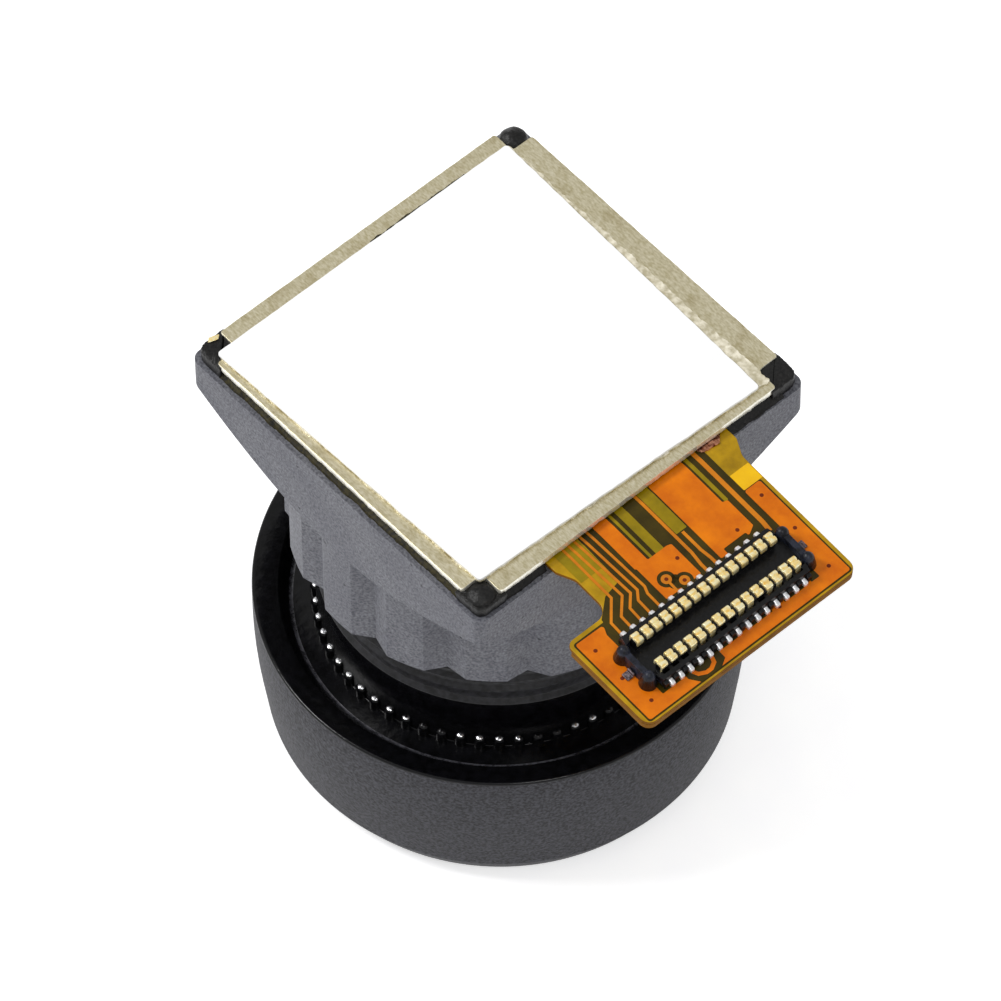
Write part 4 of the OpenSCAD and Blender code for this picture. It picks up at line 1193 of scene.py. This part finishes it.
# %% Laying the layers on the film
dressed(laid(copper), covered_copper, "covered_copper", "tail_copper")
for piece, finish, slot in [
        (tracks, thin_copper, "covered_copper"), (ring_pads, thin_copper, "covered_copper"),
        (gaps, etched_film, "polyimide_film"), (grounds, ground_film, "polyimide_film"),
        (bright, bare_yellow, "polyimide_film"), (vias, via_shadow, "covered_copper"),
        (root_copper, raw_copper, "covered_copper")]:
    dressed(laid(piece), finish, slot)

# %% [markdown]
# ## The plug
# The plug's body is one moulding, so a copy of the CAD solid gets its edges broken.
# The round guide posts at its ends are drawn in towards their own middle, because
# the real ones are slimmer than the solid. Those thin ends look bluish, so they are
# painted with the bloomed finish.

# %% The plug's body
PLUG = SLOPE @ Matrix.Translation(Vector((END_X - 1.74, -1.02, 0)) * MM)
WALL_X = 0.59
POST_Y, POST_R, POST_TRIM = 3.34, 0.34, 0.3
to_plug = PLUG.inverted()
plug_body = eased(copied("plug_housing", "plug_body"), 0.02, 2, 30)
dressed(plug_body, [plug_plastic, post_plastic], "plug_plastic", "plug_housing")
for vertex in plug_body.data.vertices:
    at = to_plug @ vertex.co / MM
    for post_x in (-WALL_X, WALL_X):
        away = Vector((at.x - post_x, abs(at.y) - POST_Y))
        if away.length < POST_R and at.z > 0.1:
            at.x -= POST_TRIM * away.x
            at.y -= POST_TRIM * away.y * (1 if at.y > 0 else -1)
            vertex.co = PLUG @ (at * MM)
painted(plug_body, 1, lambda at, n: abs((to_plug @ (at * MM)).y) / MM > POST_Y - 0.33 and
        (to_plug @ (at * MM)).z / MM > 0.3)

# %% [markdown]
# A contact is bent strip: a hook inside the plug, a crown of two pads with a shallow
# groove between them over the wall, and a leg down the outer side. A box with loop
# cuts could be bent to it, but the bend is the same all across the strip. So its
# side view is drawn as an outline, extruded to its width, and its edges are broken.

# %% One contact
COUNT, PITCH_Y = 15, 0.4
CROWN_X, CROWN_W, CROWN_R = 0.2, 0.27, 0.1
CROWN_TOP = 0.74
STRIP_T = 0.08
GROOVE_X, GROOVE_H = 0.045, 0.09
under = CROWN_TOP - 0.14
hook = under - 0.12
inner_x = CROWN_X - STRIP_T
side_view = rounded(
    [(-inner_x, under), (-inner_x, hook), (-CROWN_X, hook), (-CROWN_X, CROWN_TOP),
     (-GROOVE_X, CROWN_TOP), (0, CROWN_TOP - GROOVE_H), (GROOVE_X, CROWN_TOP),
     (CROWN_X, CROWN_TOP), (CROWN_X, 0.02), (inner_x, 0.02), (inner_x, under)],
    [0, 0, 0.02, CROWN_R, 0.03, 0.02, 0.03, CROWN_R, 0, 0, 0], 4)
contact = outline("contact", [(x, -CROWN_W / 2, z) for x, z in side_view])
edit(contact)
bpy.ops.mesh.extrude_region_move(TRANSFORM_OT_translate={"value": (0, CROWN_W * MM, 0)})
bpy.ops.mesh.select_all(action="SELECT")
bpy.ops.mesh.normals_make_consistent(inside=False)
let_go()
eased(contact, 0.03, 2, 60)
print("one contact of", len(contact.data.polygons), "faces")

# %% [markdown]
# A contact's tail is a flat foot that solder has wetted, so its top is rounded and
# falls towards the end. The outer side of the housing is cut by slots that let the
# feet out: a small rib stands between each two of them. Both are the same low
# block with one end lower, in different sizes.

# %% Feet and ribs
FOOT_L, FOOT_W, FOOT_H = 0.36, 0.18, 0.3
RIB_L, RIB_W, RIB_H = 0.3, 0.17, 0.36


def block(name, length, width, near_h, far_h, edge):
    """A block along x from the origin, lower at its far end, with broken edges."""
    piece = raised(name, [(0, -width / 2), (length, -width / 2), (length, width / 2),
                          (0, width / 2)], 0, near_h)
    for vertex in piece.data.vertices:
        if vertex.co.x > 0 and vertex.co.z > 0:
            vertex.co.z = far_h * MM
    return eased(piece, edge, 3, 40)


foot = block("foot", FOOT_L, FOOT_W, FOOT_H, FOOT_H * 0.55, 0.045)
rib = block("rib", RIB_L, RIB_W, RIB_H, RIB_H * 0.8, 0.02)
print("a foot of", len(foot.data.polygons), "faces, a rib of", len(rib.data.polygons))

# %% [markdown]
# The outer row faces the film's end, and the inner row is the same thing turned
# half round. An Array modifier would set every copy in one exact line. Here each
# copy is set a hair off its neighbours' line, as real ones are, by random numbers
# with a fixed seed, so that every run gives the same rows.

# %% Rows of contacts
chance = random.Random(4)
WANDER, FOOT_WANDER = 0.008, 0.012


def row(name, model, turn, reach, wander, count=COUNT):
    """Copies a model to every place of a row; turn 180 is the inner row."""
    twins = []
    for i in range(count):
        step = Vector((WALL_X + reach, (i - (count - 1) / 2) * PITCH_Y, 0))
        off = Vector((chance.uniform(-1, 1), chance.uniform(-1, 1), 0)) * wander
        twins.append(twin(model, name, PLUG @ Matrix.Rotation(math.radians(turn), 4, "Z") @
                          Matrix.Translation((step + off) * MM)))
    return joined(name, twins)


dressed(row("contacts_outer", contact, 0, -0.05, WANDER), gold_plate, "gold_plate",
        "plug_contacts_outer")
dressed(row("contacts_inner", contact, 180, 0, WANDER), gold_plate, "gold_plate",
        "plug_contacts_inner")
feet = [row("feet_outer", foot, 0, 0.24, FOOT_WANDER),
        row("feet_inner", foot, 180, 0.3, FOOT_WANDER)]
dressed(joined("soldered_feet", feet), solder, "solder", "solder_joints")
ribs = [row("ribs_outer", rib, 0, 0.22, 0, COUNT + 1),
        row("ribs_inner", rib, 180, 0.2, 0, COUNT + 1)]
dressed(joined("slot_ribs", ribs), plug_plastic, "plug_plastic")
for model in (contact, foot, rib):
    bpy.data.objects.remove(model)

# %% [markdown]
# A metal anchor at each end of the plug is soldered to the film and takes the pull
# when the plug is unmated. It is stamped, so a copy of the solid with broken edges
# is all it needs.

# %% The anchors
anchors = eased(copied("plug_anchors", "plug_anchor_feet"), 0.02)
dressed(anchors, tinned_steel, "solder", "plug_anchors")

# %% [markdown]
# ## Floor, light and camera
# The module stands on a white sweep that reads as pure white and still takes a soft
# shadow. More light would make the floor white too, but it would bleach the module.
# So the floor glows a little, but only to the camera and to reflections, and the
# module itself is lit as by plain white floor.

# %% Floor
def white_sweep():
    """A white floor that shows as white and keeps its shadow."""
    material, shader, place = new_material("white_sweep", {"Roughness": 0.9})
    link = material.node_tree.links.new
    tooth = add_node(material, "ShaderNodeTexNoise", {"Vector": place, "Scale": 1 / (2 * MM)})
    paper = add_node(material, "ShaderNodeValToRGB", {"Fac": tooth.outputs["Fac"]},
                     {0.35: "#F0F0F2", 0.65: "#F4F4F4"})
    link(paper.outputs["Color"], shader.inputs["Base Color"])
    rays = add_node(material, "ShaderNodeLightPath").outputs
    seen = add_node(material, "ShaderNodeMath",
                    {0: rays["Is Camera Ray"], 1: rays["Is Glossy Ray"]}, operation="MAXIMUM")
    seen = add_node(material, "ShaderNodeMath",
                    {0: seen.outputs[0], 1: rays["Is Transmission Ray"]}, operation="MAXIMUM")
    glow = add_node(material, "ShaderNodeEmission",
                    {"Color": linear("#FFFFFF"), "Strength": 0.5})
    both = add_node(material, "ShaderNodeAddShader",
                    {0: shader.outputs[0], 1: glow.outputs[0]})
    mixed = add_node(material, "ShaderNodeMixShader",
                     {0: seen.outputs[0], 1: shader.outputs[0], 2: both.outputs[0]})
    link(mixed.outputs[0], material.node_tree.nodes["Material Output"].inputs["Surface"])
    return material


let_go()
bpy.ops.mesh.primitive_plane_add(size=1.2, location=(0, 0, 0))
floor = bpy.context.object
floor.name = "floor"
floor.data.materials.append(white_sweep())
print("floor of", round(floor.dimensions.x, 2), "m")

# %% [markdown]
# A white room gives most of the light, and two wide soft lamps give the faces their
# small differences in tone. One strong lamp would give hard shadows, which a light
# tent doesn't have. Together they light a face that looks up at about the level
# where a colour renders as it is written.

# %% Light
world = bpy.data.worlds.new("white_room")
bpy.context.scene.world = world
world.use_nodes = True
background = world.node_tree.nodes["Background"]
background.inputs["Color"].default_value = linear("#FFFFFF")
background.inputs["Strength"].default_value = 0.58


def soft_lamp(name, place, size, watts):
    """A square soft lamp that faces the module from this place in millimetres."""
    lamp = bpy.data.lights.new(name, "AREA")
    lamp.size = size * MM
    lamp.energy = watts
    lamp_object = bpy.data.objects.new(name, lamp)
    bpy.context.scene.collection.objects.link(lamp_object)
    lamp_object.location = Vector(place) * MM
    aim = Vector((0, 0, 10)) * MM - lamp_object.location
    lamp_object.rotation_euler = aim.to_track_quat("-Z", "Y").to_euler()


soft_lamp("key", (-150, -150, 260), 90, 0.5)
soft_lamp("fill", (150, -60, 260), 60, 0.12)
print(len(bpy.data.lights), "lamps in a white room")

# %% [markdown]
# The camera looks down on the back from 55 degrees, over the corner between the
# film and the near side. It stands far away with a long lens, as for a catalogue,
# so that parallel edges stay nearly parallel. Its place is given as two angles and
# a distance, which is easier to adjust than three coordinates.

# %% Camera
AIM = Vector((0, 0, 12)) * MM
DISTANCE = 341.2 * MM
AZIMUTH = math.radians(48.85)
ELEVATION = math.radians(55.17)
ROLL = math.radians(-0.68)
back = Vector((math.sin(AZIMUTH) * math.cos(ELEVATION),
               -math.cos(AZIMUTH) * math.cos(ELEVATION),
               math.sin(ELEVATION)))
camera_data = bpy.data.cameras.new("camera")
camera_data.sensor_width = 36
camera_data.lens = 382.8
camera_data.shift_x = 0.0017
camera_data.shift_y = -0.0264
camera_data.clip_start = 0.01
camera_data.clip_end = 10
camera = bpy.data.objects.new("camera", camera_data)
bpy.context.scene.collection.objects.link(camera)
camera.location = AIM + back * DISTANCE
camera.rotation_mode = "QUATERNION"
level = (-back).to_track_quat("-Z", "Y")
camera.rotation_quaternion = level @ Matrix.Rotation(ROLL, 4, "Z").to_quaternion()
bpy.context.scene.camera = camera
bpy.context.scene.view_settings.view_transform = "Standard"
print("camera at", [round(side / MM) for side in camera.location], "mm")
